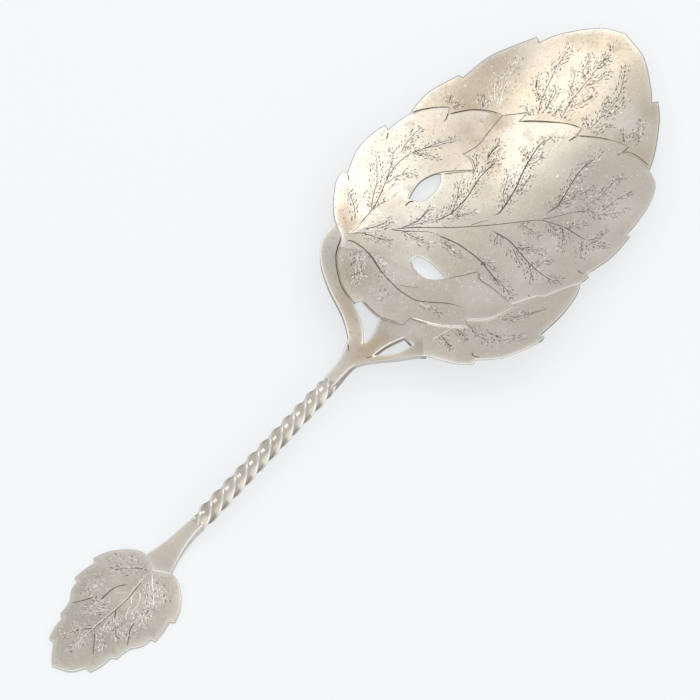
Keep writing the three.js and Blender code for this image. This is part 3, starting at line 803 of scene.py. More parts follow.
BACK_FERNS = [
    (1.9, [(92.9, 10.3), (97.0, 12.4), (101.3, 13.6), (107.5, 15.2), (111.0, 15.5), (114.6, 15.5)]),
    (1.2, [(97.2, 12.5), (98.6, 15.0), (100.3, 16.6), (103.1, 17.7)]),
    (1.2, [(95.1, 9.9), (99.3, 10.4), (102.5, 11.1)]),
    (1.2, [(91.7, 11.7), (92.2, 13.5), (92.8, 14.6)]),
    (2.0, [(95.9, 4.9), (98.9, 5.5), (103.0, 6.1), (110.7, 6.2), (117.8, 6.4), (121.0, 6.5)]),
    (1.3, [(103.6, 6.3), (104.8, 8.2), (107.0, 9.1), (109.3, 10.1)]),
    (1.4, [(109.8, 6.5), (111.0, 8.8), (113.9, 9.3), (116.1, 9.8)]),
    (1.4, [(100.3, 5.1), (102.9, 3.7), (105.6, 2.4), (107.4, 2.0)]),
    (1.4, [(108.5, 5.2), (110.8, 3.9), (113.1, 3.3), (115.1, 2.5)]),
    (1.3, [(113.7, 6.1), (115.6, 5.5), (117.9, 5.2)]),
    (2.0, [(97.1, -3.2), (103.7, -3.6), (106.9, -3.9), (110.0, -3.6), (113.8, -2.2), (118.4, 0.2)]),
    (1.2, [(102.4, -3.3), (105.5, -2.3), (108.7, -1.6)]),
    (1.2, [(97.8, -2.7), (99.9, -0.1)]),
    (1.2, [(97.1, -4.5), (99.0, -5.7), (101.0, -6.5), (101.9, -7.2)]),
    (1.3, [(103.5, -5.1), (107.7, -5.9), (110.6, -5.8)]),
    (1.7, [(99.0, -14.7), (101.8, -14.4), (104.3, -14.2), (106.9, -13.6)]),
    (1.2, [(99.1, -13.4), (101.5, -11.1)]),
    (1.2, [(100.2, -15.5), (103.2, -15.6)]),
    (1.2, [(79.4, 29.8), (80.7, 31.2)]),
    (1.2, [(79.3, 28.7), (81.6, 27.7)]),
    (1.5, [(85.3, 22.8), (87.0, 25.1)]),
    (1.2, [(94.8, 7.4), (98.7, 7.3)]),
]


def below_border(border, near, far, reach):
    """Top and under faces of a rim leaf: near its border with the leaves above it lies just under the
    pressed face, and it drops to its full lap further out."""

    def top(x, y):
        away = distance_to(np.column_stack([x, y]), border)
        return pressed_face(x, y) - near - (far - near) * smoothstep(away, 0.5, reach)

    return top, lambda x, y: top(x, y) - RIM_SHEET


back_border = np.vstack([spline(on_bowl(path), 0.5) for _, path in BACK_LINES])
back_loops = [bowl_outline(BACK_EDGE)]
back_cuts = engrave(back_loops, BACK_LINES, BACK_FERNS, pale_ferns=BACK_PALE_FERNS, dark=0.7, seed=3)
back_faces = below_border(back_border, near=0.2, far=0.5, reach=14)
sheet("back_leaf", back_loops, *back_faces, 0.2, BACK_SILVER, "bowl_silver", back_cuts)

# %% [markdown]
# The fork is a flat casting: a square neck that opens into three arms and a pad. It is thicker than the
# leaves, and its edges have a painted highlight above and below a duller wall, which gives two lines of
# light.

# %% The fork
FORK_THICKNESS = 1.7
NECK_WIDTH, NECK_OPENING = 4.1, 3.1
FORK_EDGE = [
    [(3, 4), (7.4, 9.5), (11.8, 17.5), (16.4, 23.7), (21.9, 27.6), (29.5, 28.9)],
    [(29.2, 26.2), (25.5, 23.4), (21.5, 20.6), (16.6, 15.2), (12.2, 9.2), (8.4, 3.6), (4.5, 0.2)],
    [(5.1, -0.1), (8.1, 0), (12.9, 1.5), (17, 1.8)],
    [(17, 1.8), (19.2, -2.5), (20.2, -7.6)],
    [(20.3, -7.9), (10.9, -14.9)],
    [(9.3, -12.6), (6.3, -10.1), (2.8, -6.4), (0.1, -3.8)],
]
FORK_SLOT = [
    [(3.2, -4.4), (5.5, -4.7), (8.2, -5.4), (12.2, -6.9)],
    [(11.4, -9.9), (8.8, -9.1), (6.2, -7.6), (3.2, -4.4)],
]
FORK_LINES = [
    (0.34, [(1.6, 2.9), (0.8, 2.1), (0.0, 1.3)]),
    (0.34, [(2.6, -4.0), (1.9, -3.7), (1.2, -3.3)]),
    (0.4, [(27.0, 25.4), (26.0, 24.7), (20.6, 21.95), (15.05, 16.15), (12.55, 10.9), (12.3, 10.1)]),
]
INTO_BAR, INSIDE_BAR, BAR_SINK = 1.6, 0.9, 0.8
neck_end, neck_mouth = FORK_START - BOWL_START, -NECK_OPENING
neck_tip = neck_end - INTO_BAR
NECK_EDGE = [
    [(0.1, -3.8), (neck_mouth, -NECK_WIDTH / 2), (neck_end, -BAR_SIDE / 2), (neck_tip, -INSIDE_BAR)],
    [(neck_tip, INSIDE_BAR), (neck_end, BAR_SIDE / 2), (neck_mouth, NECK_WIDTH / 2), (3, 4)],
]


def neck_sink(x):
    """The neck's end thins by this much on both faces, to vanish inside the bar."""
    return BAR_SINK * smoothstep(-x, -FORK_START, INTO_BAR - FORK_START)


def fork_top(x, y):
    return pressed_face(x, y) - neck_sink(x)


def fork_under(x, y):
    """The neck is as deep as the bar and thins to the fork's own thickness at the crotch."""
    share = smoothstep(x, FORK_START, BOWL_START)
    return fork_top(x, y) - (BAR_SIDE + (FORK_THICKNESS - BAR_SIDE) * share) + 2 * neck_sink(x)


fork_loops = [bowl_outline(FORK_EDGE + NECK_EDGE), bowl_outline(FORK_SLOT, clockwise=True)]
fork_cuts = engrave(fork_loops, FORK_LINES, [], seed=13)
sheet("fork", fork_loops, fork_top, fork_under, 0.25, FORK_SILVER, "fork_silver", fork_cuts, cell=1.0,
      arris=-0.8, wall=-0.15, foot=-0.8)

# %% [markdown]
# The bottom leaf runs along the near rim. Its straight edge lies on the fork's pad and is soldered there,
# so its height rises to the pad's over the last few millimetres, and a fine line stays along the seam.

# %% The bottom leaf
BOTTOM_EDGE = [
    [(21.7, -5.4), (10.7, -13.9)],
    [(10.7, -13.9), (11, -14.9), (13.7, -21.8), (16, -25.7)],
    [(17.6, -25.5), (22.1, -31.1), (30, -35.5), (32.6, -35.7)],
    [(33, -34.3), (41.9, -34.7), (50.7, -33.4), (55, -30.5)],
    [(55, -30.5), (46, -22.5), (38, -19), (29, -13), (21.7, -5.4)],
]
BOTTOM_LAP = [
    (18.2, -4.1), (22.3, -13.8), (26, -16.5), (31.2, -20.4), (38.4, -23.2), (45, -27), (49.8, -29.7),
    (55, -32.5),
]
# A groove cut bright and coloured paler as a painted highlight.
BOTTOM_BRIGHT_LINES = [(0.4, [(15.9, -12.9), (18.9, -13.4), (22.5, -14.3)])]
BOTTOM_LINES = [
    (0.5, [(18.8, -23.3), (18.2, -24.4), (18.8, -26.0)]),
    (0.36, [(38.1, -27.3), (39.7, -28.6), (41.8, -30.2)]),
]
BOTTOM_FERNS = [
    (1.8, [(26.3, -17.1), (24.5, -20.3), (24.3, -23.3), (23.5, -25.5)]),
    (1.7, [(32.1, -22.3), (35.0, -24.9), (38.1, -27.3)]),
    (1.8, [(25.5, -26.5), (27.9, -28.5), (30.0, -30.7)]),
    (1.3, [(18.7, -13.3), (18.0, -15.7), (17.0, -17.8)]),
    (1.2, [(22.8, -15.0), (22.7, -17.3), (21.6, -19.4)]),
    (1.1, [(26.7, -21.6), (26.9, -24.6), (25.8, -26.3)]),
]
ABOVE_PAD = 0.06


def risen_to_pad(x, y):
    """The under-lap's height, rising to just over the fork's face in the last millimetres to the seam."""
    place = np.column_stack([x, y])
    from_seam = distance_to(place, spline(on_bowl(BOTTOM_EDGE[0]), 0.5))
    from_lap = distance_to(place, spline(on_bowl(BOTTOM_LAP), 0.5))
    drop = LAP * smoothstep(from_seam, 1.5, 9) * (0.3 + 0.7 * smoothstep(from_lap, 0.5, 9))
    return pressed_face(x, y) + ABOVE_PAD - drop


bottom_loops = [bowl_outline(BOTTOM_EDGE)]
bottom_cuts = engrave(bottom_loops, BOTTOM_LINES, BOTTOM_FERNS, bright_lines=BOTTOM_BRIGHT_LINES,
                      dark=0.6, seed=11)
# Painted light on its edge: a painted highlight on the arris and painted shade on the wall.
sheet("bottom_leaf", bottom_loops, risen_to_pad, lambda x, y: risen_to_pad(x, y) - RIM_SHEET, 0.3,
      BOWL_SILVER, "bowl_silver", bottom_cuts, over=fork_loops[:1], lap=0.12, arris=-0.5, wall=0.6)

# %% [markdown]
# The centre leaf is the base of the bowl. A long rib runs through it with strong veins to both sides,
# and two eye-shaped piercings let the table show through.

# %% The centre leaf
CENTRE_EDGE = [
    [(82.5, 20.5), (86.8, 17.5), (91.7, 13.1)],
    [(88.4, 13), (95, 3.9), (96.7, -1.5)],
    [(94.1, -1.7), (97.7, -9.9), (98.3, -15.5)],
    [(95.8, -15.1), (96.1, -20.6), (91.6, -28.4), (85.3, -31.5), (76.9, -32.7), (73, -32.6)],
    [(72.5, -33.9), (65.2, -34), (59, -32.5), (56.7, -31.7)],
    [(56, -32.8), (53, -32.1), (49.8, -29.7), (45, -27)],
    [(44, -25), (38.5, -21.5), (29, -16.5), (24, -10), (21.5, -4), (19.5, 3), (18.5, 9), (20.2, 15.5),
     (22, 21), (23.2, 22.7), (24.8, 23.7), (26.4, 24.6)],
    [(26.4, 24.6), (27.1, 25.2), (28.4, 27.5), (29.9, 29.8)],
    [(29.9, 29.8), (36, 31.5), (42, 33.5), (55, 35.5), (67, 33), (75, 28.5), (82.5, 20.5)],
]
UPPER_EYE = [
    [(49.2, 20.6), (52.2, 21.9), (55.7, 22), (58.9, 21.3), (61.4, 19)],
    [(61.4, 19), (59, 17.5), (56.2, 16.9), (52.9, 17), (50.8, 17.8), (49.2, 20.6)],
]
LOWER_EYE = [
    [(35.2, -2.6), (32.1, 0.4), (31.4, 3), (32.3, 6.3), (34, 8)],
    [(34, 8), (35.7, 8.1), (37, 7.2), (37.4, 4.1), (36.3, -0.6), (35.2, -2.6)],
]
# Grooves near the base where the leaves meet: bright-cut metal with a painted highlight.
CENTRE_BRIGHT_LINES = [
    (0.4, [(27.4, 24.5), (30.1, 24.2), (33.4, 24.3)]),
    (0.45, [(27.8, 24.7), (31.9, 22.9), (35.4, 20.2), (38.6, 17.7)]),
    (0.4, [(28.6, 24.0), (31.5, 23.5), (34.8, 22.4), (38.5, 21.0), (42.5, 19.0)]),
]
CENTRE_LINES = [
    (0.26, [(33.4, 24.3), (34.6, 24.4), (41.4, 25.2), (48.8, 27.6)]),
    (0.5, [(26.7, 23.6), (27.8, 22.4), (28.2, 21.0), (28.3, 18.5), (27.8, 16.1), (25.7, 10.9),
           (24.8, 7.6)]),
    (0.42, [(38.0, 18.2), (40.4, 16.3), (43.5, 13.8), (49.9, 7.1), (57.3, -0.4), (62.0, -5.1),
            (66.1, -9.5), (67.0, -12.1), (67.7, -17.3), (66.8, -23.7), (67.3, -26.7), (68.2, -28.9)]),
    (0.34, [(38.2, 18.0), (40.7, 14.9), (43.4, 12.1), (45.1, 10.1), (45.9, 8.3)]),
    (0.5, [(45.9, 8.5), (45.9, 7.4), (46.6, 4.6), (47.0, 1.0), (46.2, -5.5), (44.3, -10.2),
           (41.8, -15.9)]),
    (0.28, [(45.1, 6.8), (44.4, 2.3), (43.9, -0.7)]),
    (0.45, [(56.2, -1.6), (56.3, -4.5), (56.2, -7.2), (55.3, -10.1), (52.9, -16.0), (51.1, -22.0),
            (50.9, -24.6)]),
    (0.45, [(60.1, 1.4), (60.8, 0.5), (62.4, 0.1), (65.0, 0.4), (70.8, 1.4), (77.8, 3.4), (83.7, 4.4),
            (86.8, 4.5), (89.1, 3.5), (90.6, 2.6)]),
    (0.45, [(68.5, -10.1), (71.3, -10.6), (72.8, -11.1), (75.3, -10.6), (82.1, -9.5), (85.7, -9.1),
            (89.1, -9.6), (91.7, -10.7), (92.9, -10.1)]),
    (0.34, [(47.4, 11.8), (53.3, 9.7), (57.3, 9.5), (59.9, 9.5), (67.9, 10.8), (70.8, 10.8), (76.3, 10.6)]),
    (0.34, [(40.5, 16.4), (43.8, 15.0), (46.5, 14.5), (49.8, 14.7), (51.5, 14.7)]),
    (0.3, [(28.1, 24.9), (31.8, 22.2), (33.8, 18.5), (35.6, 15.6)]),
    (0.3, [(33.4, 22.5), (36.7, 20.8), (40.5, 19.8)]),
    (0.3, [(40.1, 15.5), (40.8, 12.7), (41.5, 9.3)]),
    (0.28, [(53.9, 3.5), (56.5, 2.2), (58.7, 0.6)]),
    (0.3, [(66.7, -9.8), (68.4, -11.7), (70.9, -13.8), (73.4, -16.1), (75.6, -19.3)]),
    (0.6, [(94.4, -1.8), (93.4, -1.5), (92.4, -1.2), (91.4, -0.8)]),
    (0.5, [(96.1, -15.2), (95.3, -14.8), (94.4, -14.3)]),
    (0.34, [(73.8, 13.0), (76.5, 13.1), (79.5, 12.9)]),
    (0.3, [(56.9, -28.8), (56.3, -29.8), (56.5, -31.2)]),
    (0.36, [(43.2, -22.9), (43.0, -23.7), (42.8, -24.8)]),
    (0.3, [(61.9, 18.5), (65.5, 15.6), (68.6, 12.6)]),
    (0.26, [(68.8, 12.9), (70.5, 15.3), (70.8, 17.7)]),
    (0.32, [(36.2, -2.8), (39.6, -5.2), (43.2, -7.6)]),
    (0.55, [(49.6, 18.9), (48.9, 19.6), (47.7, 19.7), (46.8, 19.6)]),
    (0.3, [(43.0, -7.9), (41.0, -9.3), (40.4, -13.9), (38.8, -20.2), (38.9, -23.0)]),
]
CENTRE_FERNS = [
    (2.2, [(49.4, 11.1), (53.3, 9.7), (59.9, 9.5), (63.9, 10.2), (67.9, 10.8), (74.0, 10.5), (76.3, 10.6)]),
    (1.8, [(53.3, 9.7), (56.9, 10.5), (59.7, 12.0), (62.8, 13.7)]),
    (2.1, [(62.4, 0.1), (67.7, 0.7), (70.8, 1.4), (77.8, 3.4), (83.7, 4.4), (86.8, 4.5), (90.6, 2.6)]),
    (1.7, [(65.0, 0.4), (67.3, 2.8), (70.6, 4.3), (74.1, 5.9)]),
    (1.7, [(70.0, 0.9), (72.3, 0.0), (75.0, 0.7), (76.5, -0.2)]),
    (1.6, [(80.6, 3.8), (81.6, 6.6), (82.5, 7.9)]),
    (1.7, [(79.0, 3.3), (81.1, 2.2), (84.0, 2.0)]),
    (2.0, [(73.3, 12.6), (76.8, 13.3), (79.9, 13.3)]),
    (1.6, [(68.1, 12.0), (70.3, 13.7), (72.3, 15.5)]),
    (2.1, [(71.3, -10.6), (75.3, -10.6), (78.6, -10.1), (85.7, -9.1), (89.1, -9.6), (92.9, -10.1)]),
    (1.7, [(73.9, -10.9), (76.6, -12.8), (79.6, -13.9), (82.3, -15.1)]),
    (1.7, [(76.7, -16.9), (79.9, -18.5), (83.5, -18.7), (86.8, -19.0), (89.1, -19.8)]),
    (1.6, [(76.6, -21.8), (80.6, -22.7), (83.2, -23.4), (85.2, -25.1)]),
    (1.7, [(67.2, -16.4), (64.5, -18.7), (60.8, -20.7)]),
    (1.7, [(66.3, -23.4), (63.2, -25.3), (61.0, -26.5)]),
    (1.6, [(67.0, -24.8), (69.2, -26.9), (71.4, -27.3)]),
    (1.6, [(66.3, -25.9), (66.5, -28.8), (67.0, -30.7)]),
    (1.6, [(73.4, -16.1), (75.6, -19.3), (74.3, -22.7)]),
    (1.6, [(75.7, -22.4), (77.4, -25.0), (79.0, -26.9), (80.2, -27.7)]),
    (1.6, [(66.7, -12.3), (65.6, -15.1), (64.1, -16.7)]),
    (1.6, [(67.7, -17.3), (69.9, -18.9), (71.6, -20.6)]),
    (1.7, [(55.3, -10.1), (56.3, -12.8), (57.4, -15.2), (57.8, -17.2)]),
    (1.7, [(54.7, -9.8), (52.5, -12.7), (51.4, -14.9)]),
    (1.7, [(51.8, -19.0), (54.9, -19.2), (56.4, -20.4)]),
    (1.8, [(52.9, -16.0), (50.4, -18.7), (48.2, -21.3)]),
    (1.6, [(51.1, -22.0), (50.7, -25.1), (51.6, -27.5)]),
    (1.7, [(46.0, -5.6), (46.2, -7.5), (46.0, -9.5)]),
    (1.6, [(44.0, -10.4), (43.2, -14.1), (41.4, -18.0), (40.5, -19.9)]),
    (1.7, [(62.6, -6.3), (62.2, -9.2), (62.0, -12.6)]),
    (1.6, [(56.1, -3.6), (53.6, -5.5)]),
    (1.6, [(40.1, 15.5), (40.8, 12.7), (41.5, 9.3), (41.6, 7.3)]),
    (1.6, [(31.8, 22.2), (33.8, 18.5), (35.1, 15.2)]),
    (1.6, [(35.6, 20.9), (38.3, 19.3), (40.7, 19.2)]),
    (1.7, [(43.8, 15.0), (46.5, 14.5), (51.1, 14.3)]),
    (1.4, [(42.9, 15.0), (46.7, 13.0), (49.7, 11.3)]),
    (1.4, [(45.1, 6.8), (44.4, 2.3), (43.9, -0.7)]),
    (1.4, [(53.2, 8.0), (56.0, 6.8), (58.2, 5.2)]),
]
CENTRE_DOTS = [
    (49.4, 16.9), (49.0, 17.6), (47.7, 19.7), (35.7, 10.1), (35.8, 9.1), (49.5, 11.1), (45.8, 8.3),
    (82.0, -10.6), (85.0, -11.6), (83.2, -11.3), (77.1, -13.5), (78.8, -17.9), (80.0, -18.7), (76.7, -17.6),
    (82.4, -23.3), (88.8, -20.0), (88.1, -19.3), (83.4, -18.5), (72.8, -31.2), (53.9, -5.3), (41.2, -1.2),
    (55.0, -20.1),
]
LEAF_ROUNDING = 0.16
centre_loops = [
    bowl_outline(CENTRE_EDGE),
    bowl_outline(UPPER_EYE, clockwise=True),
    bowl_outline(LOWER_EYE, clockwise=True),
]
centre_cuts = engrave(centre_loops, CENTRE_LINES, CENTRE_FERNS, CENTRE_DOTS,
                      bright_lines=CENTRE_BRIGHT_LINES, dark=0.72, seed=7)
centre_faces = (lambda x, y: pressed_face(x, y) + 0.02, lambda x, y: pressed_face(x, y) - SHEET)
# Painted light on its edges: the outer edge has a painted highlight on its arris and painted shade on its
# wall, and the piercings' walls a painted highlight.
sheet("centre_leaf", centre_loops, *centre_faces, LEAF_ROUNDING, BOWL_SILVER, "bowl_silver", centre_cuts,
      over=back_loops, arris=(-0.5, 0.2, -0.7), wall=(0.6, -0.5, -0.5))

# %% [markdown]
# The upper left leaf laps over the centre leaf. Where its lower border runs back to the base, from the
# end of the piercing, the two have been worked into one another, so its height falls away to almost
# nothing there and no step shows.

# %% The upper left leaf
UPPER_EDGE = [
    [(26.9, 25.1), (29.9, 30.2), (37.3, 35.6), (42, 36.9)],
    [(42.6, 35.7), (49.4, 38.1), (56, 38.5), (61.3, 37.7)],
    [(61, 36.4), (68, 35.5), (74.7, 32.3), (78.4, 29.2)],
    [(76.7, 28.1), (82.7, 23.9), (86.8, 17.5)],
    [(86.8, 17.5), (79.7, 17.2), (75.4, 16.9), (70.4, 18.1)],
    [(70.4, 18.1), (70.2, 15.6), (68.4, 13.2)],
    [(68.4, 13.2), (61.9, 19), (55.7, 21.2), (49.3, 20.3)],
    [(49.3, 20.3), (37.3, 22.2), (26.9, 25.1)],
]
# Grooves along the leaf's edges near the base: bright-cut metal with a painted highlight on those edges.
UPPER_BRIGHT_LINES = [
    (0.5, [(27.4, 25.6), (28.5, 27.5), (29.7, 29.3), (31.4, 31.0)]),
    (0.36, [(27.0, 24.8), (30.1, 24.3), (33.4, 24.3)]),
]
UPPER_LINES = [
    (0.26, [(33.4, 24.3), (34.6, 24.4), (41.4, 25.2), (48.8, 27.6), (52.6, 28.5), (55.8, 28.7),
           (59.3, 28.4), (62.3, 27.4), (65.5, 25.8), (68.5, 24.1), (72.4, 22.0)]),
    (0.4, [(60.3, 35.9), (59.3, 35.3), (58.2, 35.0)]),
    (0.4, [(42.5, 35.7), (42.1, 34.9), (41.1, 33.9)]),
    (0.4, [(77.9, 28.9), (76.5, 28.3), (75.1, 27.8), (73.9, 27.8)]),
]
UPPER_FERNS = [
    (1.4, [(31.3, 24.8), (34.3, 26.5), (36.5, 28.6), (37.9, 30.7), (39.1, 32.3)]),
    (1.9, [(38.8, 24.7), (42.7, 27.1), (47.0, 29.2), (50.4, 31.9), (53.1, 34.0)]),
    (1.6, [(47.9, 27.2), (50.5, 26.9), (53.0, 26.2), (55.5, 24.8), (56.4, 22.8)]),
    (1.7, [(39.0, 24.5), (42.2, 24.5), (45.0, 23.6), (46.9, 22.7)]),
    (1.4, [(58.3, 30.0), (60.9, 30.7), (63.3, 30.9), (66.1, 31.0), (67.8, 30.6)]),
    (1.4, [(60.3, 27.9), (62.7, 25.7), (63.8, 23.8), (64.3, 22.2)]),
    (1.5, [(60.5, 28.0), (65.7, 26.0), (69.0, 24.5), (72.8, 22.4)]),
    (1.1, [(48.8, 27.6), (52.4, 29.1), (56.0, 30.9), (56.7, 32.1)]),
]


def worked_in(border, reach=4.5, least=-0.2):
    """Top and under faces of a leaf over the centre leaf that sinks below its face at a border."""
    path = spline(on_bowl(border), 0.5)

    def lift(x, y):
        away = distance_to(np.column_stack([x, y]), path)
        return least + (SEEN_LAP - least) * smoothstep(away, 0, reach)

    return (
        lambda x, y: pressed_face(x, y) + lift(x, y),
        lambda x, y: pressed_face(x, y) + np.minimum(lift(x, y) - SHEET, 0.5 * LAP_GAP),
    )


upper_loops = [bowl_outline(UPPER_EDGE)]
upper_cuts = engrave(upper_loops, UPPER_LINES, UPPER_FERNS, bright_lines=UPPER_BRIGHT_LINES,
                     dark=0.6, seed=5)
sheet("upper_left_leaf", upper_loops, *worked_in(UPPER_EDGE[-1]), LEAF_ROUNDING, BOWL_SILVER,
      "bowl_silver", upper_cuts, over=back_loops + centre_loops[:1])

# %% [markdown]
# The lower left leaf covers the handle's end of the bowl and the fork's arms. One strong groove swings
# through it. Like the upper left leaf it is worked into the centre leaf along one border.

# %% The lower left leaf
LOWER_EDGE = [
    [(26.2, 24.4), (20.8, 21.7), (15.3, 16), (12.8, 10.8), (12.4, 9.4)],
    [(14.2, 8.7), (13.4, 5.8), (13, 1.6), (15.1, -4.2)],
    [(18.2, -4.1), (20, -9.8), (22.3, -13.8), (25.3, -17.5)],
    [(26.9, -15.5), (31.2, -20.4), (38.4, -23.2)],
    [(38.4, -23.2), (38.3, -20.2), (40, -13.9), (40.5, -9.1)],
    [(42.8, -7.6), (35.6, -2.4), (32.7, 0.6), (32.1, 3), (33, 6), (34.2, 7.6)],
    [(34.2, 7.6), (31.7, 17), (26.2, 24.4)],
]
LOWER_LINES = [
    (0.62, [(26.5, 24.0), (27.8, 22.4), (28.2, 21.0), (28.3, 18.5), (27.8, 16.1), (25.7, 10.9), (24.8, 7.6),
           (24.1, 3.7), (24.1, 0.5), (24.8, -2.2), (28.6, -7.4), (29.7, -9.8), (29.9, -12.5)]),
    (0.26, [(25.6, 4.9), (27.0, 2.7), (28.8, 0.8)]),
    (0.26, [(24.9, -5.4), (24.6, -7.8), (23.1, -10.0)]),
    (0.4, [(14.6, 8.2), (13.9, 5.7), (13.5, 1.7), (15.3, -3.4)]),
]
# Grooves along the leaf's lower edge, where it laps over the bottom leaf and the fork: a painted highlight
# on that edge.
LOWER_BRIGHT_LINES = [
    (0.5, [(18.7, -4.4), (20.5, -9.6), (22.8, -13.5), (25.5, -16.9)]),
    (0.5, [(27.4, -15.4), (31.4, -19.9), (38.1, -22.6)]),
]
LOWER_FERNS = [
    (1.4, [(27.2, 21.9), (25.3, 19.4), (22.5, 16.8), (17.6, 13.3)]),
    (1.2, [(27.2, 20.3), (25.2, 17.4), (23.1, 15.0)]),
    (1.1, [(21.5, 16.4), (20.7, 14.1), (20.7, 13.1)]),
    (1.4, [(26.3, 11.7), (23.7, 8.6), (21.1, 5.9), (18.6, 5.0)]),
    (1.2, [(28.3, 16.5), (28.1, 13.7), (28.4, 11.6)]),
    (1.1, [(24.2, -2.7), (24.6, -5.6), (24.5, -8.3)]),
]
lower_loops = [bowl_outline(LOWER_EDGE)]
lower_cuts = engrave(lower_loops, LOWER_LINES, LOWER_FERNS, bright_lines=LOWER_BRIGHT_LINES,
                     dark=0.4, seed=9)
sheet("lower_left_leaf", lower_loops, *worked_in(LOWER_EDGE[-1]), LEAF_ROUNDING, BOWL_SILVER,
      "bowl_silver", lower_cuts, over=centre_loops[:1] + fork_loops[:1], lap=0.5)

# %% [markdown]
# The bar is square stock, twisted left-handed. Its four edges wind round it and are painted bright, partly
# as wear and partly as a painted highlight, and its under and far sides are painted darker as shade; the
# hollows that the faces seem to have come from the twist alone. Its section is a square with lightly
# rounded corners, turned as it is carried along the bar's axis. A point at each end closes the tube.

# %% The twisted bar
TWIST_PITCH = 18.0
HALF_SIDE, CORNER_POWER = 1.88, 9.0
TWIST_SHIFT = 0.85
STEM_SWAY = 1.0
END_SHARE, END_EASE, END_OVERLAP = 0.74, 3.5, 0.8
CROWN_POWER = 12


def twisted_bar(around=96, step=0.15):
    """A rounded square with half side h: at angle d from the middle of a face the section's radius is
    h (|cos d|^n + |sin d|^n)^(-1/n). It turns once in each pitch on the way to the fork."""
    start = np.array([STEM_START - END_OVERLAP, STEM_SWAY, AXIS_AT_TAIL])
    end = np.array([FORK_START + END_OVERLAP, 0.0, AXIS_AT_FORK])
    run = end - start
    length = np.linalg.norm(run)
    forward = run / length
    side = np.cross([0, 0, 1], forward)
    side /= np.linalg.norm(side)
    rise = np.cross(forward, side)
    s = np.linspace(0, length, int(length / step))[:, None]
    a = np.linspace(0, 2 * math.pi, around, endpoint=False)[None, :]
    corner = np.abs(np.cos(a)) ** CORNER_POWER + np.abs(np.sin(a)) ** CORNER_POWER
    radius = HALF_SIDE * corner ** (-1 / CORNER_POWER)
    turned = a - 2 * math.pi * (s - length - TWIST_SHIFT) / TWIST_PITCH
    to_end = np.minimum(s, length - s)
    radius = radius * (END_SHARE + (1 - END_SHARE) * smoothstep(to_end, 0, END_EASE))
    across, up = (radius * np.cos(turned))[..., None], (radius * np.sin(turned))[..., None]
    tube = start + s[..., None] * forward + across * side + up * rise
    count = tube.shape[0] * around
    ring = np.arange(count).reshape(-1, around)
    after = np.roll(ring, -1, 1)
    quads = np.stack([ring[:-1], after[:-1], after[1:], ring[1:]], -1).reshape(-1, 4)
    caps = [np.column_stack([after[0], ring[0], np.full(around, count)]),
            np.column_stack([ring[-1], after[-1], np.full(around, count + 1)])]
    points = np.vstack([tube.reshape(-1, 3), start[None], end[None]])
    # Painted light: the crowns get a painted highlight, and the under side and far side painted shade.
    crown = np.sin(2 * a) ** CROWN_POWER + 0 * s
    below = smoothstep(-np.sin(turned), -0.75, 0.2)
    behind = smoothstep(np.cos(turned), 0.35, 0.95)
    tint = np.append((0.05 + 0.3 * below + 0.2 * behind) * (1 - crown) - 0.55 * crown, [0, 0])
    return points, quads.tolist() + np.vstack(caps).tolist(), tint, np.append(crown, [0, 0])


bar_points, bar_faces, bar_tint, bar_crown = twisted_bar()
put_mesh("twisted_stem", bar_points, bar_faces, STEM_SILVER, bar_tint, bar_crown, crease=60)

# %% [markdown]
# The small leaf is a flat plate with teeth on both sides. One half of its edge is drawn and mirrored,
# and its tip is skewed a little, as on the real leaf. Lines, loops and ferns are cut into it.

# %% The small leaf
TERMINAL_THICKNESS = 1.2
LEAF_SWAY, LEAF_TURN = 2.5, math.radians(1.8)
SMALL_MARGIN, SMALL_NICK_AREA = 0.5, 1.2
SMALL_FERN_DARK, SMALL_FERN_SPACING = 0.1, 0.5
SMALL_HALF = [
    [(0, 0), (-1.3, 2.3), (-2.1, 4.3), (-1.9, 6.1), (-0.7, 8.2), (1.2, 10.3), (3.9, 12.3), (7, 13.5)],
    [(7.8, 12.4), (11, 13.1), (13.9, 13.3)],
    [(14.2, 12.1), (16.7, 11.7), (19.3, 9.9)],
    [(19.3, 9.9), (21.1, 9.5), (23.3, 9.3)],
    [(24, 8.1), (27, 7.8), (29.9, 6.8)],
]
SMALL_TIP_SIDE, SMALL_TIP = [(29.9, 5.3), (33, 3)], (34.7, 1.3)
SMALL_LINES = [
    (0.3, [(13.5, -0.1), (16.1, -2.1), (18.3, -4.5), (19.6, -6.3)]),
    (0.3, [(21.2, -0.2), (24.3, -2.8), (26.6, -4.6)]),
    (0.36, [(13.3, -6.2), (15.7, -6.7), (19.4, -9.2)]),
    (0.36, [(0.9, 0.9), (2.0, 3.2), (4.6, 6.1), (6.4, 7.5)]),
    (0.4, [(14.9, 6.2), (16.9, 7.3), (19.7, 9.3)]),
    (0.36, [(20.9, 0.3), (23.4, 2.6), (26.3, 4.5)]),
    (0.4, [(14.4, 4.3), (12.1, 4.2), (9.8, 4.0), (8.0, 3.0), (6.8, 1.8)]),
    (0.3, [(13.9, 5.8), (14.9, 5.3), (15.0, 4.2)]),
    (0.26, [(3.2, 0.1), (6.5, -0.2), (10.5, -0.6), (15.5, -0.2), (20.7, 0.2), (25.4, 0.4)]),
]
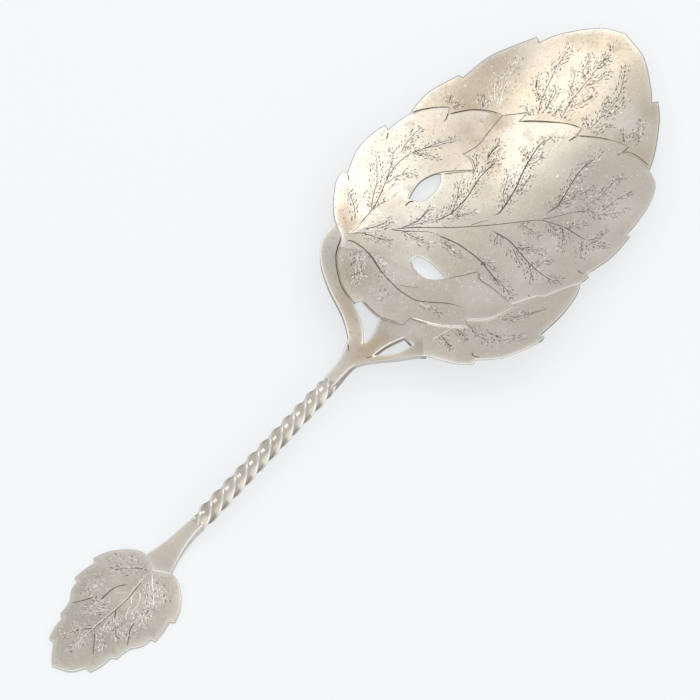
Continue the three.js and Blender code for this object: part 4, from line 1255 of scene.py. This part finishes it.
# Veins cut bright and coloured paler as a painted glint.
SMALL_BRIGHT_LINES = [
    (0.42, [(1.2, 0.4), (6.5, 0.1), (10.5, -0.3), (15.5, 0.1), (20.7, 0.5), (25.4, 0.7), (29.5, 0.9)]),
    (0.34, [(0.9, -0.5), (3.1, -2.7), (5.4, -5.1), (8.1, -7.3)]),
    (0.36, [(13.5, 0.3), (15.9, 1.7), (18.4, 4.0), (20.9, 6.3)]),
    (0.4, [(10.4, -2.5), (9.0, -1.2), (7.2, -0.9), (6.8, -1.8), (8.2, -3.1), (10.4, -3.8), (13.1, -4.0)]),
    (0.36, [(10.5, 3.0), (9.6, 1.6), (8.4, 0.6)]),
    (0.36, [(10.6, -2.3), (13.2, -3.2), (14.3, -4.4)]),
    (0.34, [(13.7, -6.0), (15.0, -5.0), (16.8, -4.9)]),
]
SMALL_FERNS = [
    (1.5, [(0.4, 2.1), (1.6, 4.9), (2.9, 7.7), (3.9, 10.1)]),
    (1.5, [(2.4, 2.8), (4.2, 5.8), (6.6, 8.2)]),
    (1.3, [(9.0, 8.0), (11.4, 8.4), (13.6, 8.4)]),
    (1.4, [(10.2, 5.6), (12.7, 6.6), (15.7, 8.4)]),
    (1.3, [(13.6, 0.8), (14.6, 3.2), (16.0, 4.9)]),
    (1.3, [(16.2, 1.4), (17.5, 4.2), (18.8, 6.2)]),
    (1.3, [(20.9, 0.3), (22.4, 2.9), (23.6, 4.7)]),
    (1.3, [(22.5, 0.1), (26.3, 0.5), (29.0, 0.7)]),
    (1.3, [(23.7, 1.1), (25.2, 2.9), (26.8, 4.7)]),
    (1.3, [(20.8, -0.6), (22.0, -3.3), (24.1, -4.2)]),
    (1.3, [(14.9, -1.4), (17.9, -4.1), (19.2, -5.9)]),
    (1.3, [(15.5, -0.6), (17.9, -0.8), (19.8, -1.9)]),
    (1.3, [(10.4, -3.8), (11.4, -6.0), (12.9, -8.3)]),
    (1.4, [(4.3, -3.5), (7.6, -5.8), (10.8, -7.5)]),
    (1.4, [(1.9, -2.0), (2.7, -5.3), (4.1, -7.9)]),
    (1.3, [(2.9, -0.9), (5.0, -3.5), (8.3, -5.5)]),
    (1.3, [(18.3, -7.8), (15.2, -7.2), (12.6, -7.1)]),
]


def on_small_leaf(points):
    """Points of the small leaf's drawing, along from its base and across, turned to the handle's line."""
    along, across = np.asarray(points, float).T
    c, s = math.cos(LEAF_TURN), math.sin(LEAF_TURN)
    return np.stack([TERMINAL_END - c * along + s * across, LEAF_SWAY + s * along + c * across], 1)


def mirrored(stretch):
    return [(along, -across) for along, across in reversed(stretch)]


small_edge = SMALL_HALF + [SMALL_TIP_SIDE + [SMALL_TIP], [SMALL_TIP] + mirrored(SMALL_TIP_SIDE)]
small_edge += [mirrored(s) for s in reversed(SMALL_HALF)]
small_loops = [outline([on_small_leaf(s) for s in small_edge], step=0.4)]
small_cuts = Cuts(17)
small_room = room_for_cuts(small_loops, SMALL_MARGIN)
for tint, lines in ((0.9, SMALL_LINES), (-1.3, SMALL_BRIGHT_LINES)):
    for width, path in lines:
        small_cuts.groove(width, on_small_leaf(path), small_room, tint)
for reach, path in SMALL_FERNS:
    small_cuts.fern(reach, on_small_leaf(path), small_room, SMALL_FERN_DARK, SMALL_FERN_SPACING)
small_cuts.nicks(small_loops[0], SMALL_NICK_AREA, small_room)
# Painted light on its edge: a painted highlight on the wall and painted shade along the foot.
sheet("terminal_leaf", small_loops, lambda x, y: TERMINAL_THICKNESS + 0 * x, lambda x, y: 0 * x, 0.3,
      SMALL_LEAF_SILVER, "terminal_silver", small_cuts, arris=0.12, wall=-0.6)

# %% [markdown]
# The tail is a flat strip that rises from the table to the bar and narrows on the way. Its wide end is
# fitted into the heart-shaped base of the small leaf, so that part of its outline is the leaf's own.

# %% The tail
TAIL_WIDTH, TAIL_THICKNESS = 9.8, 1.5
TAIL_EASE = 3.9
LOBE_WIDTH, LOBE_OVERLAP = 4.2, 0.3


def tail_side(sign, count=40):
    """One long side of the tail: half its width falls with the square of the way left to the bar."""
    share = np.linspace(0, 1, count)
    x = TERMINAL_END + share * (STEM_START - TERMINAL_END)
    middle = LEAF_SWAY + (STEM_SWAY - LEAF_SWAY) * share**2
    half = 0.5 * (BAR_SIDE + (TAIL_WIDTH - BAR_SIDE) * (1 - share) ** 2)
    inside_bar = (STEM_START + INTO_BAR, STEM_SWAY + sign * INSIDE_BAR)
    return np.vstack([np.stack([x, middle + sign * half], 1), [inside_bar]])


def tail_base(x):
    """Height of the tail's under face: flat at the leaf, rising to the bar's under side."""
    rise = smoothstep(x, TERMINAL_END, STEM_START + TAIL_EASE) * (bar_axis(x) - BAR_SIDE / 2)
    return rise + BAR_SINK * smoothstep(x, STEM_START, STEM_START + INTO_BAR)


def tail_top(x, y):
    share = smoothstep(x, TERMINAL_END, STEM_START + TAIL_EASE)
    thickness = TAIL_THICKNESS + (BAR_SIDE - TAIL_THICKNESS) * share
    return tail_base(x) + thickness - 2 * BAR_SINK * smoothstep(x, STEM_START, STEM_START + INTO_BAR)


def tail_outline():
    """The heart's two lobes up to the tail's sides, and the two sides beyond them."""
    lobe = spline(SMALL_HALF[0], 0.3)
    lobe = lobe[(lobe[:, 1] < LOBE_WIDTH) & (lobe[:, 0] <= 0)] + (LOBE_OVERLAP, 0)
    heart = on_small_leaf(np.vstack([lobe[::-1], (lobe * (1, -1))[1:]]))
    low, high = tail_side(-1), tail_side(1)
    low = low[low[:, 0] > heart[-1, 0] + 0.2]
    high = high[high[:, 0] > heart[0, 0] + 0.2]
    return outline([heart, low, high[::-1]], step=0.4)


tail_loops = [tail_outline()]
# Painted light on its edge: a painted highlight on the arris, the wall and the foot.
sheet("tail_plate", tail_loops, tail_top, lambda x, y: tail_base(x), 0.25, TAIL_SILVER,
      "terminal_silver", cell=0.8, arris=-0.8, wall=-0.8, foot=-0.2)

# %% [markdown]
# The spoon lies on a pale, matt floor. What the camera sees of it has a colour of its own and a little
# glow, so that the background can be as pale as the photograph's without washing out the silver, and what
# the metal mirrors is a plainer grey.

# %% The floor
FLOOR_HALF = 3.0
FLOOR_GLOW, FLOOR_SEEN = (0.635, 0.65, 0.66, 1), (0.33, 0.335, 0.34, 1)
FLOOR_MIRRORED = (0.76, 0.765, 0.77, 1)


def camera_rays(tree):
    """1 for what the camera sees itself, and 0 for what is seen in the metal."""
    return Wire(tree, tree.nodes.new("ShaderNodeLightPath").outputs["Is Camera Ray"])


def add_floor():
    material, shader, start = new_material("pale_floor")
    shader.inputs["Roughness"].default_value = 0.9
    shader.inputs["Specular IOR Level"].default_value = 0.1
    seen = camera_rays(material.node_tree)
    shader.inputs["Emission Strength"].default_value = 1
    start.plug(shader.inputs["Emission Color"], seen.mix((0, 0, 0, 1), FLOOR_GLOW))
    start.plug(shader.inputs["Base Color"], seen.mix(FLOOR_MIRRORED, FLOOR_SEEN))
    mesh = bpy.data.meshes.new("floor")
    corners = [(x * FLOOR_HALF, y * FLOOR_HALF, 0) for x, y in ((-1, -1), (1, -1), (1, 1), (-1, 1))]
    mesh.from_pydata(corners, [], [(0, 1, 2, 3)])
    mesh.materials.append(material)
    floor = bpy.data.objects.new("floor", mesh)
    bpy.context.scene.collection.objects.link(floor)
    return floor


print("stage:", add_floor().name)

# %% [markdown]
# The light is soft. A large lamp high behind the spoon and a second one to the right give the satin metal
# its pale and grey areas, and the world is a dome, brighter behind the camera than ahead of it.

# %% Lamps and world
DOME_FRONT, DOME_BACK = (1.05, 1.05, 1.06, 1), (0.65, 0.65, 0.66, 1)
DOME_SEEN = (0.93, 0.94, 0.95, 1)


def add_lamp(name, sideways, back, height, size, power, colour):
    """A square soft lamp, placed by the camera's own right and forward, and turned to the spoon."""
    right, _, forward = view_axes()
    ground = np.array([forward[0], forward[1], 0.0])
    ground /= np.linalg.norm(ground)
    lamp = bpy.data.lights.new(name, "AREA")
    lamp.shape, lamp.size = "SQUARE", size
    lamp.energy, lamp.color = power, colour
    lit = bpy.data.objects.new(name, lamp)
    place = Vector(right * sideways + ground * back + np.array([0, 0, height]))
    lit.location = place
    lit.rotation_euler = (-place).to_track_quat("-Z", "Y").to_euler()
    bpy.context.scene.collection.objects.link(lit)
    return lit


def add_world():
    world = bpy.data.worlds.new("dome")
    bpy.context.scene.world = world
    world.use_nodes = True
    tree = world.node_tree
    start = Wire(tree, tree.nodes.new("ShaderNodeTexCoord").outputs["Generated"])
    _, _, forward = view_axes()
    ground = Vector((forward[0], forward[1], 0)).normalized()
    inputs = {0: start, 1: ground}
    back = start.make("ShaderNodeVectorMath", {"operation": "DOT_PRODUCT"}, inputs, out="Value")
    shade = back.ramp(-0.6, 0.05).mix(DOME_FRONT, DOME_BACK)
    colour = camera_rays(tree).mix(shade, DOME_SEEN)
    start.plug(tree.nodes["Background"].inputs["Color"], colour)
    return world


add_lamp("lamp_back", sideways=0.078, back=0.265, height=0.57,
         size=0.23, power=0.22, colour=(1.0, 0.98, 0.94))
add_lamp("lamp_right", sideways=0.4, back=0.29, height=0.54,
         size=0.22, power=0.24, colour=(1.0, 0.99, 0.97))
add_world()
bpy.context.scene.view_settings.view_transform = "Standard"
